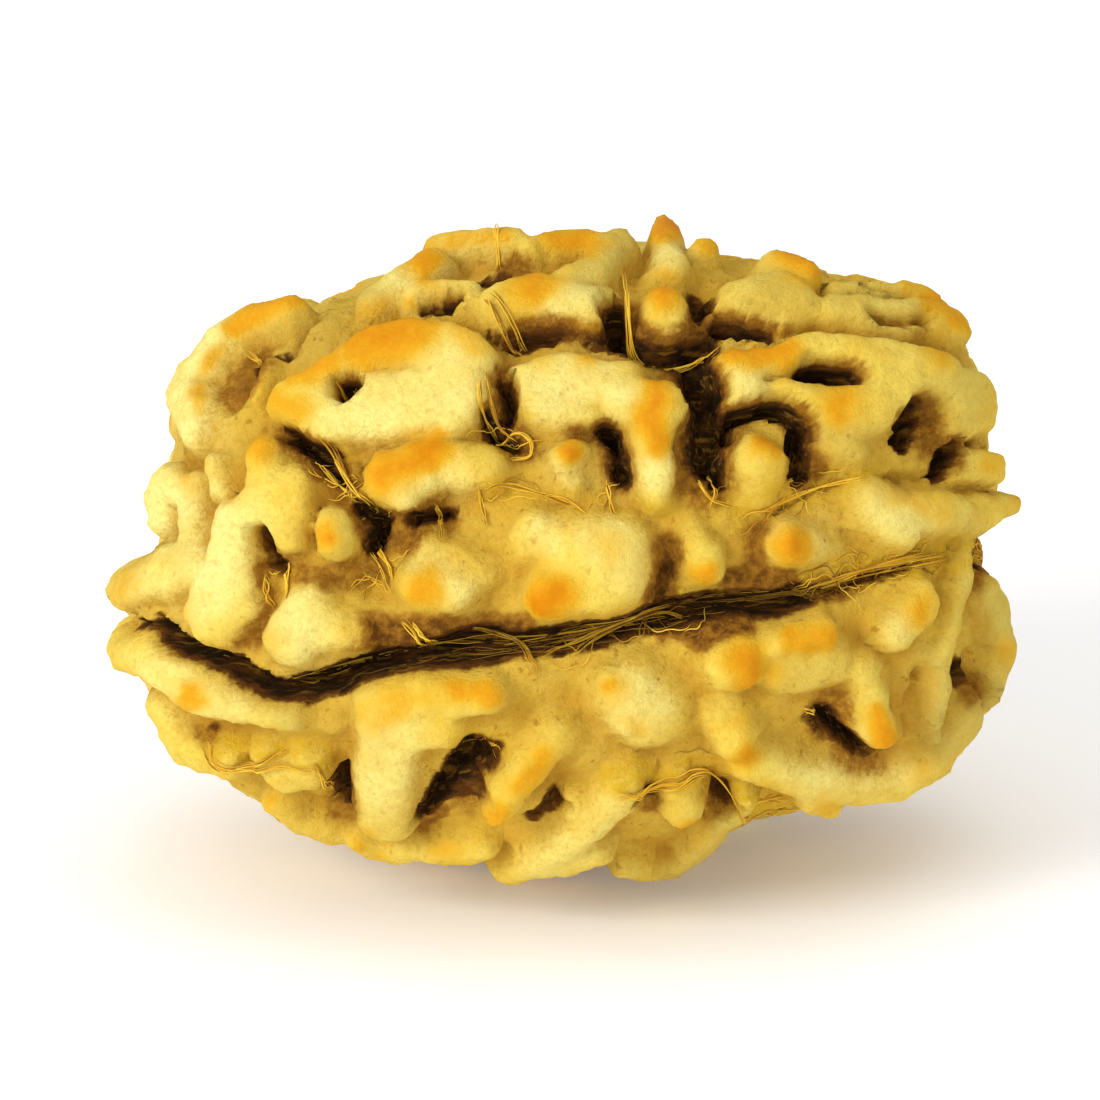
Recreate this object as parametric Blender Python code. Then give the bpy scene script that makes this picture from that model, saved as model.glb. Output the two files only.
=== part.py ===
"""A rudraksha bead: one seed stone, grooved from pole to pole and covered in tubercles.

The stone is a two-parameter surface. Rings run from pole to pole on a superellipsoid, and each of their
points is raised or sunk along its normal by a formula: the web between the tubercles, then the grooves,
then the tubercles, then the pits. All of them are placed in millimetres as they are seen from the front:
x to the right, y up. The stone rests on a small flat spot.
"""

import math
from functools import cache

import bmesh
import bpy
import numpy as np

MM = 0.001
# half sizes of the body that most tubercles reach, along the poles, across them and in depth
HALF_LONG = 10.85
HALF_TALL = 7.7
HALF_DEEP = 7.3
SQUARENESS = 2.45
LEAN_DEG = 5.0  # right-hand pole above the left-hand one, seen from the front
FRONT_RISE_DEG = 20.0  # the front faces this far above the horizontal
WEB_HEIGHT = -0.68  # the skin between the tubercles, against the body
GROOVE_LIP = 0.6  # where a cut's wall stands one radius from its bed
GROOVE_LEVEL = -0.8  # the skin that a groove is laid on
PIT_LEVEL = -0.3
TUBERCLE_FOOT = -1.75
TUBERCLE_BLEND = 0.28
GROOVE_BLEND = 0.15
PIT_BLEND = 0.25
RIPPLE = 0.1  # unevenness of the web
WANDER = 0.06  # how far the borders of features stray
# a front feature stands again on the far side if all of it is at least this far in front of the middle
TUBERCLES_REPEATED_FROM = 3.3
GROOVES_REPEATED_FROM = 1.0
PITS_REPEATED_FROM = 2.0
# tubercles and pits drawn at random, for the skin that isn't seen, stand behind this depth
HIDDEN_FROM = 1.8
CANDIDATES = 3000
HIDDEN_LENGTHS = (0.2, 2.2)
HIDDEN_RADII = (0.85, 1.2)
HIDDEN_HEIGHTS = (-0.15, 0.25)
HIDDEN_FLATNESS = 3.5
SHRINKING = 0.4  # how much smaller the last drawn are than the first
HIDDEN_PITS = 34
HIDDEN_PIT_RADII = (0.26, 0.42)
HIDDEN_PIT_LEVELS = (-1.6, -1.3)
PIT_SPACING = 2.2
# the web is lower by BELT_DIP in the belt round the rim, between depths where the dip starts and is full
BELT_DIP = 0.7
BELT = (-6.5, -4.5, 0.4, 2.2)
HIDING = 0.04  # how far below the outline they stay
SPACING = 0.75  # how much of its own radius each of them keeps clear
RINGS = 150
SPOKES = 300
TRIANGLES = 10600
SEAT_CUT = 0.5  # how much of the lowest tubercles the flat spot takes
SEED = 7
PATH_STEP = 0.8

# broad swellings of the body: (x, y), radius, amount
SWELLS = [
    ((9.2, 5.4), 3.0, 0.9),
    ((9.4, -4.6), 3.0, 1.0),
    ((-9.6, -3.8), 2.8, 0.4),
    ((-10.4, 1.6), 2.2, -0.5),
    ((-9.4, 4.6), 2.0, 0.1),
    ((-1.6, 7.6), 2.4, 0.35),
    ((0.8, -7.6), 3.6, 0.55),
    ((10.8, -0.2), 1.3, -0.25),
    ((-10.5, 0.3), 1.0, -0.25),
]

# tubercles: name, crest seen from the front, radius, height over the body, flatness of the crown
TUBERCLES = [
    ("end nub", [(-9.2, -0.34), (-10.3, -0.74), (-10.95, -1.02)], (1.18, 1.0), 0.17, 2.8),
    ("tongue", [(-8.0, 0.7), (-8.25, -0.5), (-8.5, -1.42)], (0.95, 1.52), (0.05, 0.25), 3),
    ("tongue shoulder", [(-7.8, -0.2), (-7.8, -1.35)], (0.92, 1.08), (-0.05, 0.05), 3),
    ("wedge", [(-6.05, -1.3), (-6.65, -2.15)], (1.02, 1.12), (0.05, 0.3), 2.8),
    ("wedge flank", [(-5.9, -1.8), (-5.0, -1.95)], (1.05, 0.92), (0.1, -0.05), 2.8),
    ("wedge tail", [(-4.9, -1.4), (-4.3, -1.7)], 0.79, -0.5, 2.5),
    ("left cap lobe", [(-3.45, -0.85), (-2.75, -0.95)], 1.06, 0.1, 2.6),
    ("left cap back", [(-3.2, -0.1), (-2.1, -0.5)], 0.96, -0.25, 2.6),
    ("great dome foot", [(-0.25, -1.1), (1.4, -0.8)], (0.98, 1.12), (0.25, 0.15), 3),
    ("great dome", [(0.5, 0.0), (1.2, -0.15)], 1.54, 0.22, 3),
    ("great dome left", [(-0.6, 0.3), (0.2, 0.1)], 1.21, -0.02, 2.6),
    ("cleft nub", [(3.1, 0.45), (3.4, -0.4)], (0.68, 0.84), (-0.25, 0.3), 2.6),
    ("round nub", [(6.2, 0.1), (5.5, 0.05)], (0.94, 0.93), (-0.35, 0.35), 2.5),
    ("right ridge", [(7.45, 1.1), (8.4, 0.85), (9.6, 0.8)], (1.0, 1.04), 0.12, 2.8),
    ("right ridge foot", [(7.8, 0.7), (8.3, 0.4)], 0.72, 0.1, 3),
    ("pointed nub", [(10.0, 0.72), (10.98, 1.1)], (1.0, 0.5), (0.12, 0.2), 3),
    ("stub nub", [(9.5, 2.0), (10.52, 1.87)], (0.62, 0.55), (-0.2, 0.12), 4),
    ("shoulder left", [(-8.95, 3.2), (-9.3, 4.0), (-8.4, 5.15)], 1.03, 0.1, 3.2),
    ("shoulder crest", [(-8.3, 5.3), (-7.6, 5.75), (-6.6, 5.98)], 0.7, 0.15, 4),
    ("shoulder inner", [(-6.95, 4.6), (-7.35, 3.6)], (0.5, 0.4), -0.28, 2.6),
    ("pale bulge", [(-9.55, 1.65), (-9.95, 1.2), (-9.8, 0.7)], 0.9, 0.15, 3),
    ("pale flank", [(-9.1, 1.4), (-9.0, 0.3)], 1.12, -0.04, 3),
    ("peak", [(-7.25, 2.35), (-7.25, 1.5), (-7.4, 0.9)], (0.74, 1.5), 0.22, 2.8),
    ("peak back", [(-8.5, 2.0), (-8.3, 1.4)], 0.6, -0.05, 3.5),
    ("peak face", [(-6.5, 1.5), (-6.6, 0.9)], 0.86, 0.05, 3),
    ("left drop", [(-6.75, 0.85), (-6.6, 0.2)], (0.64, 0.59), 0.05, 2.8),
    ("left eye", [(-5.55, 0.5), (-5.5, 0.25)], 0.88, 0.4, 2.6),
    (
        "wing crest",
        [(-6.7, 3.65), (-5.8, 4.1), (-4.7, 4.85), (-3.6, 5.12), (-2.4, 4.65)],
        (0.72, 0.98), 0.15, 5,
    ),
    ("wing face", [(-6.2, 3.3), (-4.6, 3.5), (-2.8, 3.8)], (0.85, 1.35), 0.12, 6),
    ("striped lobe", [(-4.15, 1.75), (-3.1, 2.15), (-1.9, 1.95)], (1.1, 0.93), (0.3, 0.0), 3.2),
    ("striped tip", [(-4.0, 1.45), (-3.8, 1.2)], 0.6, 0.2, 3),
    ("plateau left", [(-0.95, 4.0), (0.1, 4.2), (1.3, 3.95)], (0.88, 0.95), 0.05, 4.5),
    ("plateau foot", [(-0.55, 3.45), (0.55, 3.25)], 0.75, 0.0, 3),
    ("hammer head", [(1.45, 3.65), (2.55, 3.58)], 0.88, 0.22, 4),
    ("hammer shaft", [(2.1, 3.3), (2.15, 2.4), (2.25, 1.5)], (0.95, 0.85), (0.2, -0.05), 4),
    ("small nub", [(0.2, 1.75), (0.18, 2.2)], (0.85, 0.82), (-0.2, 0.25), 2.6),
    ("tall nub", [(4.66, 1.4), (4.73, 2.22)], (1.07, 0.88), (-0.25, 0.36), 2.8),
    ("block", [(4.2, 4.42), (4.35, 3.85)], 1.02, 0.18, 3.6),
    ("top beam", [(4.6, 4.65), (6.4, 4.85), (8.0, 4.75), (9.2, 4.45)], 0.66, 0.1, 4),
    ("low beam", [(5.3, 3.8), (6.5, 3.35), (7.5, 3.5)], 0.78, 0.15, 3.2),
    ("low beam apron", [(6.4, 2.95), (6.9, 2.45)], 1.17, -0.15, 2.6),
    ("beam end", [(7.5, 4.1), (9.0, 4.1), (10.22, 3.55)], (0.9, 1.05), 0.08, 4.5),
    ("beam tip", [(9.3, 3.0), (10.25, 3.15)], 0.72, 0.0, 4),
    ("arch left", [(-4.7, 6.12), (-3.9, 6.58), (-3.2, 7.12)], (0.64, 0.84), 0.1, 3.2),
    ("arch top", [(-2.9, 7.48), (-1.9, 7.62), (-1.1, 7.64), (-0.8, 7.4)], (0.65, 0.55), 0.1, 4),
    ("arch foot", [(-3.4, 6.2), (-2.4, 6.2)], 0.76, 0.0, 4),
    ("cap plateau", [(-1.5, 6.08), (-0.6, 6.32), (0.8, 6.08)], (0.96, 1.1), 0.18, 3),
    ("far lobe", [(-0.4, 7.55), (0.6, 7.55)], 0.6, 0.1, 4),
    ("green lobe", [(0.2, 6.7), (0.8, 6.9), (1.25, 7.55)], (0.8, 0.72), 0.1, 3.5),
    ("spike", [(2.5, 6.9), (2.5, 7.98)], (0.9, 0.58), (0.0, 0.3), 3),
    ("crown nub", [(2.52, 5.3), (2.42, 6.05)], (1.3, 0.98), (-0.1, 0.32), 2.8),
    ("far nub", [(3.35, 7.38)], 0.56, 0.1, 3),
    ("fuzzy dome", [(4.55, 6.2), (5.3, 6.3)], 1.52, 0.36, 2.7),
    ("fuzzy dome cap", [(5.2, 7.08), (5.85, 6.84)], 0.72, 0.38, 3),
    ("back beam", [(6.5, 5.85), (7.6, 5.72), (8.8, 5.75), (9.5, 5.45)], (0.7, 0.82), 0.05, 4),
    ("far beam", [(6.6, 6.25), (8.3, 6.35), (9.0, 6.05)], 0.45, 0.0, 4),
    ("left ear", [(-10.86, -2.4), (-9.9, -2.8), (-9.2, -3.25)], (0.88, 0.95), 0.12, 3),
    ("left bar", [(-9.1, -3.5), (-7.8, -3.88), (-6.5, -4.1)], (0.84, 0.71), 0.1, 3),
    ("left bar grey", [(-6.6, -4.2), (-5.6, -4.2)], 0.7, -0.4, 3),
    ("left foot", [(-9.75, -4.1), (-9.3, -4.9), (-8.1, -5.28)], 0.93, 0.06, 3.2),
    ("left fold", [(-7.1, -5.1), (-6.7, -5.6)], (0.92, 1.05), (0.0, 0.1), 2.6),
    ("left fold tail", [(-6.2, -5.2), (-6.0, -5.6)], 0.9, 0.0, 2.6),
    ("left heel", [(-6.95, -6.3), (-6.4, -6.76), (-5.6, -7.0)], 0.76, 0.04, 3),
    ("fist top", [(-4.45, -3.95), (-3.3, -3.6), (-1.8, -3.55)], (1.0, 0.78), 0.2, 3.2),
    ("fist face", [(-3.5, -4.3), (-3.0, -4.4)], 1.18, 0.1, 3),
    ("fist leg", [(-4.3, -4.5), (-4.25, -6.8)], (1.18, 1.1), 0.12, 3.6),
    ("fist toe", [(-4.95, -7.15), (-4.45, -7.44), (-3.7, -7.48)], 0.74, 0.04, 3),
    ("fist sill", [(-3.2, -7.45), (-2.0, -7.38)], 0.74, 0.0, 3),
    ("finger", [(-0.2, -4.5), (-0.75, -5.4), (-1.55, -6.42)], (0.95, 0.74), (-0.1, 0.4), 2.8),
    ("knuckle", [(1.6, -3.65), (2.1, -4.1)], 1.55, 0.05, 2.6),
    ("knuckle wart", [(1.2, -3.25)], 0.7, 0.12, 2),
    ("knuckle lump", [(1.7, -4.3)], 0.53, 0.15, 2.4),
    ("amber lobe", [(4.0, -2.85), (4.35, -2.8)], 1.16, 0.22, 2.4),
    ("amber ridge", [(5.1, -2.3), (6.2, -2.1)], 0.8, 0.15, 2.4),
    ("amber back", [(5.4, -2.9), (6.4, -2.75)], 1.06, -0.1, 2.8),
    ("button", [(3.9, -4.1), (4.2, -4.65)], (1.15, 1.05), (-0.05, 0.25), 2.5),
    ("right brow", [(8.8, -1.2), (8.4, -1.6), (8.05, -2.0)], (0.9, 0.83), 0.08, 2.5),
    ("right brow back", [(9.0, -1.9), (8.7, -2.4)], 0.7, -0.3, 4),
    ("tusk", [(7.3, -3.0), (7.42, -3.85), (7.8, -4.55)], (0.94, 0.66), (-0.1, 0.42), 2.7),
    (
        "right edge",
        [(9.75, 0.3), (9.72, -0.8), (9.35, -1.9), (9.1, -2.9), (9.15, -3.8), (8.95, -4.6)],
        0.42, 0.0, 3,
    ),
    ("right rim", [(10.45, -1.25), (10.8, -2.4), (10.35, -3.6)], 0.86, 0.13, 3.2),
    ("right rim foot", [(9.8, -4.35), (9.1, -5.2)], 0.72, 0.03, 4),
    ("chin", [(4.6, -5.3), (5.6, -5.6), (6.7, -5.98), (8.0, -5.92), (9.0, -5.38)], (1.0, 1.17), 0.09, 2.8),
    ("chin nub", [(6.1, -6.2), (6.4, -6.42)], 0.72, 0.1, 2.6),
    ("keel left", [(-1.35, -8.0), (0.0, -7.4), (1.0, -6.5), (1.5, -5.9)], (0.79, 1.03), (0.1, 0.0), 3),
    ("keel sill", [(-0.4, -7.8), (0.8, -7.55)], 0.55, 0.08, 4),
    ("keel back", [(0.35, -6.3)], 0.87, -0.1, 3),
    ("keel nub", [(2.75, -6.0), (2.9, -6.45)], (0.93, 0.86), (-0.05, 0.25), 2.8),
    ("keel right", [(1.55, -7.85), (2.7, -7.85), (3.55, -7.15), (4.4, -6.15)], (0.66, 0.5), 0.0, 4),
]

# grooves: name, bed seen from the front, half width, height of the bed
GROOVES = [
    ("main cleft left", [(-9.75, -1.84), (-9.2, -2.25), (-8.4, -2.7), (-7.4, -3.05)], (0.36, 0.5), -1.65),
    (
        "main cleft",
        [(-7.4, -3.05), (-6.3, -3.3), (-5.3, -3.08), (-4.4, -2.7), (-2.9, -2.4), (-1.5, -2.28)],
        (0.46, 0.52), -1.7,
    ),
    (
        "main cleft right",
        [(-1.5, -2.28), (0.0, -2.1), (1.5, -1.78), (3.0, -1.45), (4.4, -1.25), (5.5, -1.1)],
        (0.42, 0.44), -1.6,
    ),
    ("cleft seam", [(5.6, -1.15), (6.6, -0.85), (8.1, -0.4)], (0.33, 0.14), -1.2),
    (
        "upper groove",
        [(-1.5, 5.05), (-1.0, 4.85), (0.0, 5.1), (1.2, 4.85), (2.3, 4.55), (3.4, 4.55)],
        0.35, -1.44,
    ),
    ("dome groove", [(3.4, 5.45), (4.4, 5.32), (5.4, 5.18), (7.0, 5.35), (8.6, 5.2)], (0.42, 0.2), -1.36),
    ("lower groove", [(-8.3, -4.4), (-7.6, -4.6), (-6.4, -4.62), (-5.4, -4.9)], 0.27, -1.1),
    ("lower seam", [(1.2, -5.3), (2.3, -5.35), (3.3, -5.3), (4.2, -5.9)], 0.25, -1.04),
    ("thin seam", [(4.9, 0.75), (6.4, 1.5), (8.0, 1.7), (8.8, 1.72)], 0.15, -0.88),
    ("olive valley", [(-6.5, 4.4), (-5.9, 5.2), (-5.45, 6.0)], (0.3, 0.45), -1.05),
]

# pits, cut last: name, place seen from the front, radius, height of the bottom
PITS = [
    ("shoulder pit", [(-6.85, 4.8), (-7.2, 4.6)], (0.34, 0.3), -1.6),
    ("shoulder hollow", [(-7.3, 4.5), (-7.7, 4.0), (-7.95, 3.4)], (0.4, 0.42), -1.0),
    ("shoulder prick", [(-7.35, 3.05)], 0.2, -1.06),
    ("gash", [(-6.5, 2.68), (-5.8, 2.3)], (0.28, 0.45), -1.67),
    ("gash tail", [(-5.75, 2.0), (-5.2, 1.5)], 0.2, -1.37),
    ("round pit", [(-5.05, 3.7)], 0.46, -1.52),
    ("thin cut", [(-5.0, 2.1), (-4.8, 1.5)], 0.18, -1.06),
    ("crossing", [(-4.75, 0.95), (-4.35, 0.7), (-4.5, 0.1)], (0.34, 0.3), -1.67),
    ("striped pit", [(-3.5, 0.75), (-2.7, 0.82)], 0.27, -1.52),
    ("drop cut", [(-7.1, 0.45), (-6.95, -0.2), (-6.65, -0.4)], (0.15, 0.25), -1.37),
    ("curl cut", [(-1.5, 4.05), (-1.35, 3.55), (-1.3, 3.05)], (0.22, 0.25), -1.52),
    ("curl cut low", [(-1.85, 3.3), (-1.6, 2.75), (-1.15, 2.5)], (0.22, 0.27), -1.52),
    ("dark well", [(3.05, 4.4), (3.44, 3.6), (3.42, 2.0)], (0.52, 0.46), -1.75),
    ("dark well right", [(3.72, 2.8), (3.6, 1.65)], 0.3, -1.75),
    (
        "moat",
        [(3.92, 2.65), (4.15, 3.1), (4.8, 3.34), (5.44, 3.2), (5.72, 2.7), (5.7, 1.8)],
        (0.24, 0.37), -1.67,
    ),
    ("hammer cut", [(0.95, 2.85), (1.12, 2.4), (1.42, 1.6)], (0.36, 0.3), -1.67),
    ("crown moat", [(1.25, 5.75), (1.3, 5.1), (1.8, 4.75), (2.6, 4.68), (3.4, 4.95)], (0.34, 0.44), -1.67),
    ("crown cut", [(3.2, 6.3), (3.4, 5.75)], 0.28, -1.44),
    ("dome hollow", [(3.7, 5.32), (4.9, 5.22)], (0.36, 0.28), -1.5),
    ("dome nub cut", [(2.35, -1.15), (2.5, -0.4)], 0.27, -1.2),
    ("slot", [(5.9, 4.15), (6.85, 4.02)], 0.32, -1.67),
    ("soft hollow", [(7.2, 6.08), (8.1, 5.98)], 0.22, -0.45),
    ("channel", [(7.4, 5.38), (8.5, 5.32)], 0.3, -0.8),
    ("right pit", [(8.45, 3.35), (8.25, 2.65)], (0.45, 0.42), -1.67),
    ("right pit shade", [(8.8, 3.3), (8.95, 2.6)], 0.5, -0.85),
    ("ragged pit", [(9.15, 1.95), (9.35, 2.35)], 0.34, -1.6),
    ("arch pit", [(-1.9, 6.62), (-1.5, 6.6)], 0.38, -1.7),
    ("arch pit tail", [(-1.5, 6.75), (-0.9, 6.78)], 0.17, -1.06),
    ("arch slit", [(-3.2, 5.72), (-2.6, 5.85)], 0.26, -1.5),
    ("fist hole", [(-2.05, -5.0), (-2.5, -5.5), (-3.35, -6.5)], (0.62, 0.24), -1.67),
    ("fist hole low", [(-1.95, -5.7), (-2.35, -6.0)], 0.34, -1.37),
    ("side hole", [(-5.3, -5.55), (-5.2, -6.3)], 0.28, -1.5),
    ("finger cut", [(-0.15, -6.05), (-0.7, -6.55)], 0.3, -1.35),
    ("tusk cut", [(6.4, -4.15), (7.25, -4.95)], 0.34, -1.67),
    ("tusk cut left", [(6.05, -4.3), (6.3, -4.7)], 0.2, -1.22),
    ("web hollow", [(8.52, -3.2), (8.56, -4.35)], 0.44, -0.94),
    ("rim hole", [(9.55, -3.2)], 0.5, -1.6),
    ("rim hollow", [(9.85, -2.6), (9.95, -3.5)], 0.4, -0.95),
    ("end gap", [(10.5, 0.2), (10.3, -0.3), (10.25, -0.75)], (0.55, 0.62), -1.7),
    ("left cleft", [(-9.8, -1.8), (-9.1, -2.35), (-8.3, -2.75), (-7.5, -3.0)], (0.22, 0.32), -1.6),
    ("left cleft inner", [(-7.5, -3.0), (-6.8, -3.3), (-5.8, -3.3), (-4.8, -2.95)], (0.3, 0.28), -1.7),
    ("left notch", [(-10.3, 0.15), (-9.7, 0.3)], 0.25, -0.94),
    ("shoulder notch", [(-9.75, 2.65), (-9.2, 2.6)], 0.24, -0.92),
    ("stub notch", [(10.5, 2.55), (9.8, 2.42)], 0.2, -1.1),
    ("keel hole", [(1.98, -5.9)], 0.32, -1.6),
    ("keel hole right", [(3.65, -6.05), (3.9, -6.2)], 0.3, -1.37),
    ("foot hole", [(-8.55, -4.45)], 0.27, -1.2),
]


def body(directions):
    """Points and outward normals of the superellipsoid along these directions."""
    axes = np.array([HALF_LONG, HALF_TALL, HALF_DEEP])
    scale = (np.abs(directions) ** SQUARENESS).sum(-1, keepdims=True) ** (-1 / SQUARENESS)
    points = directions * scale * axes
    normals = np.sign(points) * np.abs(points / axes) ** (SQUARENESS - 1) / axes
    return points, normals / np.linalg.norm(normals, axis=-1, keepdims=True)


def turned(points, degrees):
    """Points turned about the line of sight, counter-clockwise as the front sees them."""
    c, s = math.cos(math.radians(degrees)), math.sin(math.radians(degrees))
    return points @ np.array([[c, s, 0.0], [-s, c, 0.0], [0.0, 0.0, 1.0]])


def swell(points):
    """Height that the broad swellings add, a bell round each, the same on the front and far sides."""
    total = np.zeros(points.shape[:-1])
    for centre, radius, amount in SWELLS:
        at = turned(np.array([*centre, 0.0]), -LEAN_DEG)
        total += amount * np.exp(-((points[..., :2] - at[:2]) ** 2).sum(-1) / radius**2)
    return total


def seen_at(places, heights):
    """Body points whose skin at these heights is seen at these places, and the heights that reach them."""
    flat = turned(np.column_stack([places, np.zeros(len(places))]), -LEAN_DEG)[:, :2]
    half = np.array([HALF_LONG, HALF_TALL])
    guess = flat / half * 0.9
    for _ in range(60):
        reach = np.linalg.norm(guess, axis=1, keepdims=True)
        guess = guess / np.maximum(reach, 1)
        depth = np.sqrt(np.clip(1 - (guess**2).sum(1, keepdims=True), 0, 1))
        points, normals = body(np.column_stack([guess, depth]))
        raised = (heights + swell(points))[:, None]
        miss = flat - (points + raised * normals)[:, :2]
        guess = guess + 0.5 * miss / half
    return points, heights + (miss * normals[:, :2]).sum(1)


def spread(value, count):
    first, last = value if isinstance(value, tuple) else (value, value)
    return np.linspace(first, last, count)


def walked(places):
    """A path's places with more set between them, so that no straight run leaves the round body."""
    places = np.array(places, float)
    if len(places) == 1:
        return places
    along = np.append(0, np.cumsum(np.linalg.norm(np.diff(places, axis=0), axis=1)))
    steps = np.linspace(0, along[-1], max(2, math.ceil(along[-1] / PATH_STEP) + 1))
    steps = np.union1d(steps, along)
    return np.column_stack([np.interp(steps, along, places[:, axis]) for axis in (0, 1)])


def placed(rows, cut_level=None):
    """Features laid on the body: a path, then radius, height and flatness at each of its points."""
    laid = []
    for _, places, radius, height, *flatness in rows:
        places = walked(places)
        count = len(places)
        heights = spread(height, count)
        level = heights if cut_level is None else np.full(count, cut_level)
        path, reached = seen_at(places, level)
        if cut_level is None:
            heights = reached
        flat = np.full(count, float(flatness[0]) if flatness else 3.0)
        laid.append((path, np.column_stack([spread(radius, count), heights, flat])))
    return laid


def with_far_side(features, nearest):
    """Features, and images through the middle of the stone of those at least this far in front of it."""
    return features + [(-path, values) for path, values in features if path[:, 2].min() > nearest]


def nearest_on(points, path, values):
    """Distance of each point to a path, and the path's values there."""
    if len(path) == 1:
        return np.linalg.norm(points - path[0], axis=1), np.repeat(values, len(points), 0)
    distance = np.full(len(points), np.inf)
    found = np.zeros((len(points), values.shape[1]))
    for start, end, first, last in zip(path[:-1], path[1:], values[:-1], values[1:]):
        step = end - start
        share = np.clip((points - start) @ step / (step @ step), 0, 1)[:, None]
        gap = np.linalg.norm(points - start - share * step, axis=1)
        closer = gap < distance
        distance = np.where(closer, gap, distance)
        found = np.where(closer[:, None], first + share * (last - first), found)
    return distance, found


def reached_by(points, path, values):
    """Indices of the points that a feature reaches, with their distance in radii and its values there."""
    reach = values[:, 0].max() * 1.6 + 0.7
    inside = ((points > path.min(0) - reach) & (points < path.max(0) + reach)).all(1)
    chosen = np.flatnonzero(inside)
    distance, found = nearest_on(points[chosen], path, values)
    return chosen, distance / found[:, 0], found


def waves(points, length, seed):
    """Sum of fourteen sine waves in random directions, of about this wavelength and unit strength."""
    rng = np.random.default_rng(seed)
    ways = rng.normal(size=(14, 3))
    ways /= np.linalg.norm(ways, axis=1, keepdims=True)
    turns = 2 * np.pi / (length * rng.uniform(0.7, 1.4, 14))
    return np.sin((points @ ways.T) * turns + rng.uniform(0, 2 * np.pi, 14)).sum(-1) * math.sqrt(2 / 14)


def higher(first, second, blend):
    """The larger of two heights, rounded where they cross."""
    return np.maximum(first, second) + np.maximum(blend - np.abs(first - second), 0) ** 2 / (4 * blend)


def even_directions(count):
    """Directions spread evenly over a sphere on a spiral."""
    step = np.arange(count) + 0.5
    along = 1 - 2 * step / count
    angle = np.pi * (1 + math.sqrt(5)) * step
    across = np.sqrt(1 - along**2)
    return np.column_stack([along, across * np.cos(angle), across * np.sin(angle)])


def domed(share, found):
    """Height of a tubercle at these shares of its radius."""
    return found[:, 1] - (found[:, 1] - TUBERCLE_FOOT) * np.minimum(share, 1.7) ** found[:, 2]


def outline(tubercles):
    """Turns round the front view, and how far from the middle the outline lies at each."""
    turns = np.linspace(-np.pi, np.pi, 721)
    flat = np.column_stack([np.cos(turns), np.sin(turns)])
    flat /= (np.abs(flat) ** SQUARENESS).sum(1, keepdims=True) ** (1 / SQUARENESS)
    farthest = np.zeros(len(turns))
    for rise in np.arange(0, 0.6, 0.1):
        rim, normals = body(np.column_stack([flat, np.full(len(flat), rise)]))
        crest = np.full(len(turns), WEB_HEIGHT)
        for path, values in tubercles:
            chosen, share, found = reached_by(rim, path, values)
            crest[chosen] = np.maximum(crest[chosen], domed(share, found))
        farthest = np.maximum(farthest, np.linalg.norm(rim[:, :2] + crest[:, None] * normals[:, :2], axis=1))
    return turns, farthest


def hidden_features(known):
    """Tubercles drawn at random for the side that isn't seen, wherever nothing stands yet and no higher than the
    front's outline hides, and pits between them."""
    rng = np.random.default_rng(SEED)
    centres, normals = body(even_directions(CANDIDATES))
    standing = np.concatenate([path for path, _ in known])
    reach = np.concatenate([values[:, 0] for _, values in known])
    turns, edge = outline(known)
    grown, pits = [], []
    for turn, index in enumerate(rng.permutation(CANDIDATES)):
        centre, normal = centres[index], normals[index]
        size = 1 - SHRINKING * turn / CANDIDATES
        length, radius = rng.uniform(*HIDDEN_LENGTHS) * size**3, rng.uniform(*HIDDEN_RADII) * size
        height, bearing = rng.uniform(*HIDDEN_HEIGHTS), rng.uniform(0, np.pi)
        side = np.cross(normal, (0.3, 0.5, 0.8))
        side /= np.linalg.norm(side)
        way = math.cos(bearing) * side + math.sin(bearing) * np.cross(normal, side)
        path = centre + np.outer([-0.5, 0.0, 0.5], way * length)
        gaps = np.linalg.norm(path[:, None] - standing, axis=2) - SPACING * reach
        if path[:, 2].max() > HIDDEN_FROM or gaps.min() < SPACING * radius:
            continue
        ways = np.arctan2(path[:, 1] / HALF_TALL, path[:, 0] / HALF_LONG)
        room = np.interp(ways, turns, edge) - np.linalg.norm(path[:, :2], axis=1)
        height = min(height, room.min() / np.linalg.norm(normal[:2]) - HIDING)
        grown.append((path, np.array([[radius, height, HIDDEN_FLATNESS]] * 3)))
        standing = np.concatenate([standing, path])
        reach = np.append(reach, [radius] * 3)
    for index in rng.permutation(CANDIDATES):
        centre = centres[index]
        radius, level = rng.uniform(*HIDDEN_PIT_RADII), rng.uniform(*HIDDEN_PIT_LEVELS)
        gap = (np.linalg.norm(centre - standing, axis=1) - SPACING * reach).min()
        apart = min([np.linalg.norm(centre - path[0]) for path, _ in pits], default=np.inf)
        if centre[2] < HIDDEN_FROM and gap > 0.5 * radius and apart > PIT_SPACING and len(pits) < HIDDEN_PITS:
            pits.append((centre[None], np.array([[radius, level, HIDDEN_FLATNESS]])))
    return grown, pits


def strayed(points):
    """Points shifted by slow waves, so that the borders of features aren't straight or round."""
    return points + WANDER * np.column_stack([waves(points, 1.8, seed) for seed in (11, 12, 13)])


@cache
def features():
    """Every tubercle, groove and pit of the stone, laid on its body, and which tubercles are drawn at random."""
    tubercles = with_far_side(placed(TUBERCLES), TUBERCLES_REPEATED_FROM)
    hidden, hidden_pits = hidden_features(tubercles)
    grooves = with_far_side(placed(GROOVES, GROOVE_LEVEL), GROOVES_REPEATED_FROM)
    pits = with_far_side(placed(PITS, PIT_LEVEL), PITS_REPEATED_FROM)
    return tubercles, hidden, grooves, pits + hidden_pits


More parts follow.
